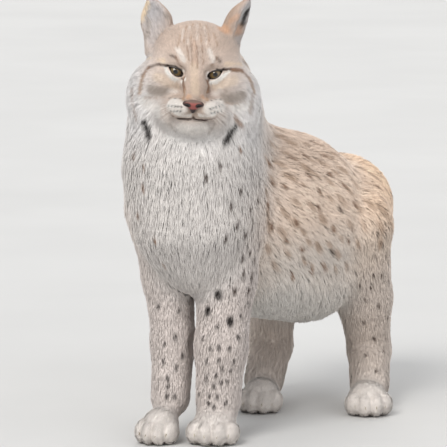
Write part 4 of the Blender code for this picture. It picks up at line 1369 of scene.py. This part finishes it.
def tube(path, radii, sides=8):
    """A closed tube of round sections through the points of path, as (points, triangles)."""
    path = np.array(path, float)
    tangents = unit(np.gradient(path, axis=0))
    up = np.array((0.0, 0.0, 1.0)) if abs(tangents[0][2]) < 0.9 else np.array((0.0, 1.0, 0.0))
    points = []
    angles = np.arange(sides) * 2 * pi / sides
    for place, tangent, radius in zip(path, tangents, radii):
        across = unit(np.cross(tangent, up))
        up = np.cross(across, tangent)
        points += [place + radius * (across * cos(a) + up * sin(a)) for a in angles]
    first, last = len(points), len(points) + 1
    end = first - sides
    points += [path[0], path[-1]]
    faces = []
    for low in range(0, end, sides):
        for i in range(sides):
            j = (i + 1) % sides
            faces += [(low + i, low + sides + j, low + j), (low + i, low + sides + i, low + sides + j)]
    for i in range(sides):
        j = (i + 1) % sides
        faces += [(first, i, j), (last, end + j, end + i)]
    return np.array(points), np.array(faces)


def ball(centre, radii, turn):
    """An ellipsoid, turned about the vertical by turn degrees, as (points, triangles)."""
    bm = bmesh.new()
    bmesh.ops.create_uvsphere(bm, u_segments=20, v_segments=10, radius=1.0)
    bmesh.ops.triangulate(bm, faces=bm.faces)
    matrix = Matrix.Translation(centre) @ Matrix.Rotation(radians(turn), 4, "Z")
    matrix = matrix @ Matrix.Diagonal((*radii, 1.0))
    points = np.array([matrix @ v.co for v in bm.verts])
    faces = np.array([[v.index for v in face.verts] for face in bm.faces])
    bm.free()
    return points, faces


def joined(name, pieces):
    """One object from several (points, triangles)."""
    starts = np.cumsum([0] + [len(points) for points, _ in pieces])
    points = np.concatenate([points for points, _ in pieces])
    faces = np.concatenate([faces + start for (_, faces), start in zip(pieces, starts)])
    return add_mesh(name, points, faces)


def add_eyeball(name, side, material):
    """An eyeball with a raised cornea, which looks at the camera."""
    bm = bmesh.new()
    bmesh.ops.create_uvsphere(bm, u_segments=48, v_segments=32, radius=EYE_RADIUS)
    for vertex in bm.verts:
        off_axis = Vector((vertex.co.x, vertex.co.y, 0)).length / EYE_RADIUS
        if vertex.co.z > 0 and off_axis < CORNEA_WIDTH:
            vertex.co *= 1 + CORNEA * (1 - (off_axis / CORNEA_WIDTH) ** 2)
    mesh = bpy.data.meshes.new("eyeball_" + name)
    bm.to_mesh(mesh)
    bm.free()
    mesh.transform(Matrix.Rotation(-pi / 2, 4, "X"))
    mesh.shade_smooth()
    made = add_object("eyeball_" + name, mesh)
    centre = HEAD @ eye_place(side)
    gaze = (VIEW_FROM - centre).normalized()
    made.matrix_world = Matrix.Translation(centre + SHIFT) @ gaze.to_track_quat("Y", "Z").to_matrix().to_4x4()
    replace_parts(give(made, material), "eye_" + name)


def lid_rim(side):
    """The rim of one eye's lids, just over the eyeball."""
    line = np.linspace(-1, 1, RIM_POINTS)
    x = np.concatenate([line, line[::-1][1:-1]]) * EYE_HALF
    upper, lower = lid_heights(x)
    z = np.where(np.arange(len(x)) < RIM_POINTS, upper, lower)
    y = np.sqrt(np.maximum((EYE_RADIUS + RIM_GAP) ** 2 - x**2 - z**2, 0.001**2))
    path = turned_by(np.stack([side * x, y, z], axis=1), HEAD @ eye_matrix(side))
    path = np.concatenate([path, path[:1]])
    return tube(path, np.where(np.arange(len(path)) < RIM_POINTS, UPPER_RIM, LOWER_RIM))


def add_eyes(material, rim):
    """Both eyeballs and the dark rims of their lids."""
    for name, side in SIDES.items():
        add_eyeball(name, side, material)
    give(joined("lid_rims", [lid_rim(side) for side in SIDES.values()]), rim)


def add_nose(material):
    """The nose pad, dark below, at its sides and in its nostrils."""
    lines = [np.arange(low, low + size, NOSE_CELL)
             for low, size in ((-0.022, 0.044), (0.042, 0.034), (-0.080, 0.034))]
    points, quads = surface_net(nose_distance, lines)
    folded = np.abs(points) * (1, 1, -1)
    nostril = oval(folded, (0.0105, 0.0680, -0.0615), (0.0060, 0.0070, 0.0040))
    inks = (
        (ramp(points[:, 2], -0.0590, -0.0540), tone(112, 90, 80)),
        (ramp(points[:, 2], -0.0655, -0.0690), tone(40, 26, 25)),
        (ramp(folded[:, 0], 0.0110, 0.0160), tone(66, 44, 38)),
        (ramp(nostril, 0.0015, -0.0005), tone(30, 20, 19)),
    )
    colours = np.broadcast_to(tone(150, 80, 74), points.shape).copy()
    for share, ink in inks:
        colours += share[:, None] * (ink - colours)
    made = add_mesh("nose_pad", turned_by(points, HEAD), quads, colours)
    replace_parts(give(made, material), "nose")


def add_pads(material, horn):
    """Leathery pads under the toes and the heel of each paw, and its claws."""
    pads, claws = [], []
    for (x, y), heading, width in PAWS.values():
        ahead, aside = directions(heading)
        places = [((0.0, -0.008), 0.27)] + [((side * 0.92, reach - 0.002), 0.14) for side, reach in TOES]
        for (side, reach), share in places:
            centre = np.array((x, y, 0.0046)) + ahead * reach + aside * side * width / 2
            pads.append(ball(centre, (width * share, width * share * 0.9, 0.0045), heading))
        for side, reach in TOES:
            base = np.array((x, y, 0.022)) + ahead * (reach + 0.020) + aside * side * width / 2
            path = [base, base + ahead * 0.006, base + ahead * 0.010 + (0, 0, -0.004)]
            claws.append(tube(path, (0.0019, 0.0014, 0.0002), 6))
    give(joined("paw_pads", pads), material)
    give(joined("claws", claws), horn)


def add_whiskers(material, tree):
    """Long pale whiskers from three rows on each side of the muzzle."""
    draw = np.random.default_rng(5)
    pieces = []
    turn = HEAD.to_3x3()
    for side, row, place in product(SIDES.values(), range(WHISKER_ROWS), range(WHISKERS_IN_ROW)):
        x, z = 0.020 + 0.0055 * place, -0.060 - 0.0052 * row + 0.0008 * place
        hit = tree.ray_cast(HEAD @ Vector((side * x, 0.12, z)), turn @ Vector((0, -1, 0)))[0]
        if hit is None:
            continue
        length = draw.uniform(0.045, 0.075) * (0.75 + 0.12 * place)
        out = Vector((side * 1.0, 0.55 - 0.25 * place, -0.22 - 0.12 * row + draw.uniform(-0.1, 0.1)))
        out = (turn @ out).normalized()
        path = [np.array(hit) + np.array(out) * length * t + np.array((0, 0.010, -0.016)) * t * t
                for t in np.linspace(-0.05, 1, 8)]
        pieces.append(tube(path, np.linspace(0.00024, 0.00005, 8), 5))
    give(joined("whiskers", pieces), material)


def add_lips(material, tree):
    """The dark edge of the lips, laid on the skin along the line of the mouth."""
    path, radii = [], []
    for column, row, radius in LIPS:
        place, out = seen_place(tree, column, row)
        if place is not None:
            path.append(np.array(place + out * 0.0006))
            radii.append(radius / 1000)
    give(joined("lips", [tube(path, radii)]), material)


def add_ear_tufts(material):
    """The long black hairs at the tip of each ear."""
    draw = np.random.default_rng(9)
    pieces = []
    for side in SIDES:
        place, length = ear_matrix(side), ear_length(side)
        for _ in range(TUFT_HAIRS):
            x, y = draw.normal(0, 0.0018), 0.004 + draw.normal(0, 0.0012)
            z = length - draw.uniform(0.004, 0.016)
            longer = draw.uniform(0.030, 0.044) + length - z - 0.004
            lean = draw.normal(0, 0.05)
            path = [place @ Vector((x * (1 - t) + lean * longer * t * t, y * (1 - 0.6 * t), z + longer * t))
                    for t in (0, 0.3, 0.7, 1)]
            pieces.append(tube(path, (0.0005, 0.0006, 0.0004, 0.0001), 4))
    give(joined("ear_tufts", pieces), material)


def add_body():
    """The skin and its coat. Returns the skin's tree, on which other pieces are set."""
    points, quads = skin_mesh()
    normals = vertex_normals(points, quads)
    shares = region_shares(points)
    lies = lie_of(points, normals, shares)
    tree = BVHTree.FromPolygons(points.tolist(), quads.tolist())
    strokes = scattered_strokes(points, normals, shares, lies) + seen_strokes(tree, points, lies)
    skin = add_mesh("skin", points, quads, colour_of(points, shares, strokes))
    flat_map = skin_map(skin)
    give(skin, hair_material("skin", 0.3, 160, 0.0006))
    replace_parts(skin, *FLESH)
    coat = hair_material("coat", 0.35, 240)
    for piece in grow_coat(draw_tufts(points, quads, normals, shares, lies, flat_map), strokes, tree):
        give(piece, coat)
    return tree


# Scene

# Lamps, as (name, place, spread in degrees, energy, colour). Each shines from its place to LAMP_AIM.
LAMPS = (
    ("key", (-1.6, -3.0, 3.6), 30, 2.1, (1.0, 0.99, 0.97)),
    ("fill", (3.4, -3.0, 2.2), 50, 0.6, (0.97, 0.98, 1.0)),
    ("back", (0.8, 3.4, 3.4), 40, 0.9, (1.0, 0.99, 0.97)),
)
LAMP_AIM = Vector((0.0, 0.0, 0.4))


def add_floor():
    bm = bmesh.new()
    bmesh.ops.create_grid(bm, x_segments=8, y_segments=8, size=40)
    mesh = bpy.data.meshes.new("floor")
    bm.to_mesh(mesh)
    bm.free()
    floor = add_object("floor", mesh)
    pale = mottled_material("floor", tone(196, 195, 193), tone(202, 201, 199), 1.5, 0.8, 0.0002)
    mesh.materials.append(pale)


def add_lights():
    """Far, broad lamps, even all over the floor, and a pale sky."""
    for name, place, spread, energy, colour in LAMPS:
        lamp = bpy.data.lights.new(name, "SUN")
        lamp.angle = radians(spread)
        lamp.energy = energy
        lamp.color = colour
        light = add_object(name, lamp)
        light.location = place
        light.rotation_euler = (LAMP_AIM - Vector(place)).to_track_quat("-Z", "Y").to_euler()
    world = bpy.data.worlds.new("studio")
    bpy.context.scene.world = world
    world.use_nodes = True
    background = world.node_tree.nodes["Background"]
    background.inputs["Color"].default_value = (0.88, 0.90, 0.93, 1)
    background.inputs["Strength"].default_value = 0.70
    bpy.context.scene.view_settings.view_transform = "Standard"


def add_camera():
    data = bpy.data.cameras.new("camera")
    data.sensor_width = SENSOR_WIDTH
    data.lens = SENSOR_WIDTH * VIEW_DISTANCE / (PICTURE * PIXEL)
    data.clip_end = 40
    camera = add_object("camera", data)
    camera.location = VIEW_FROM + SHIFT
    camera.rotation_euler = (VIEW_AIM - VIEW_FROM).to_track_quat("-Z", "Y").to_euler()
    bpy.context.scene.camera = camera


add_camera()
add_floor()
add_lights()
skin_tree = add_body()
add_eyes(iris_material(),
         mottled_material("lid_rim", tone(30, 24, 22), tone(52, 42, 36), 700, 0.35, 0.0001, 0.3))
add_nose(hair_material("nose", 0.5, 900))
add_pads(mottled_material("pads", tone(60, 50, 48), tone(86, 72, 66), 300, 0.7, 0.0004),
         mottled_material("claws", tone(196, 184, 160), tone(150, 132, 106), 200, 0.4, 0.0001))
add_whiskers(mottled_material("whiskers", tone(236, 232, 226), tone(250, 248, 244), 60, 0.4, 0.0), skin_tree)
add_lips(mottled_material("lips", tone(58, 42, 36), tone(88, 64, 55), 500, 0.5, 0.0001), skin_tree)
add_ear_tufts(mottled_material("ear_tufts", tone(22, 18, 17), tone(46, 38, 34), 500, 0.6, 0.0))
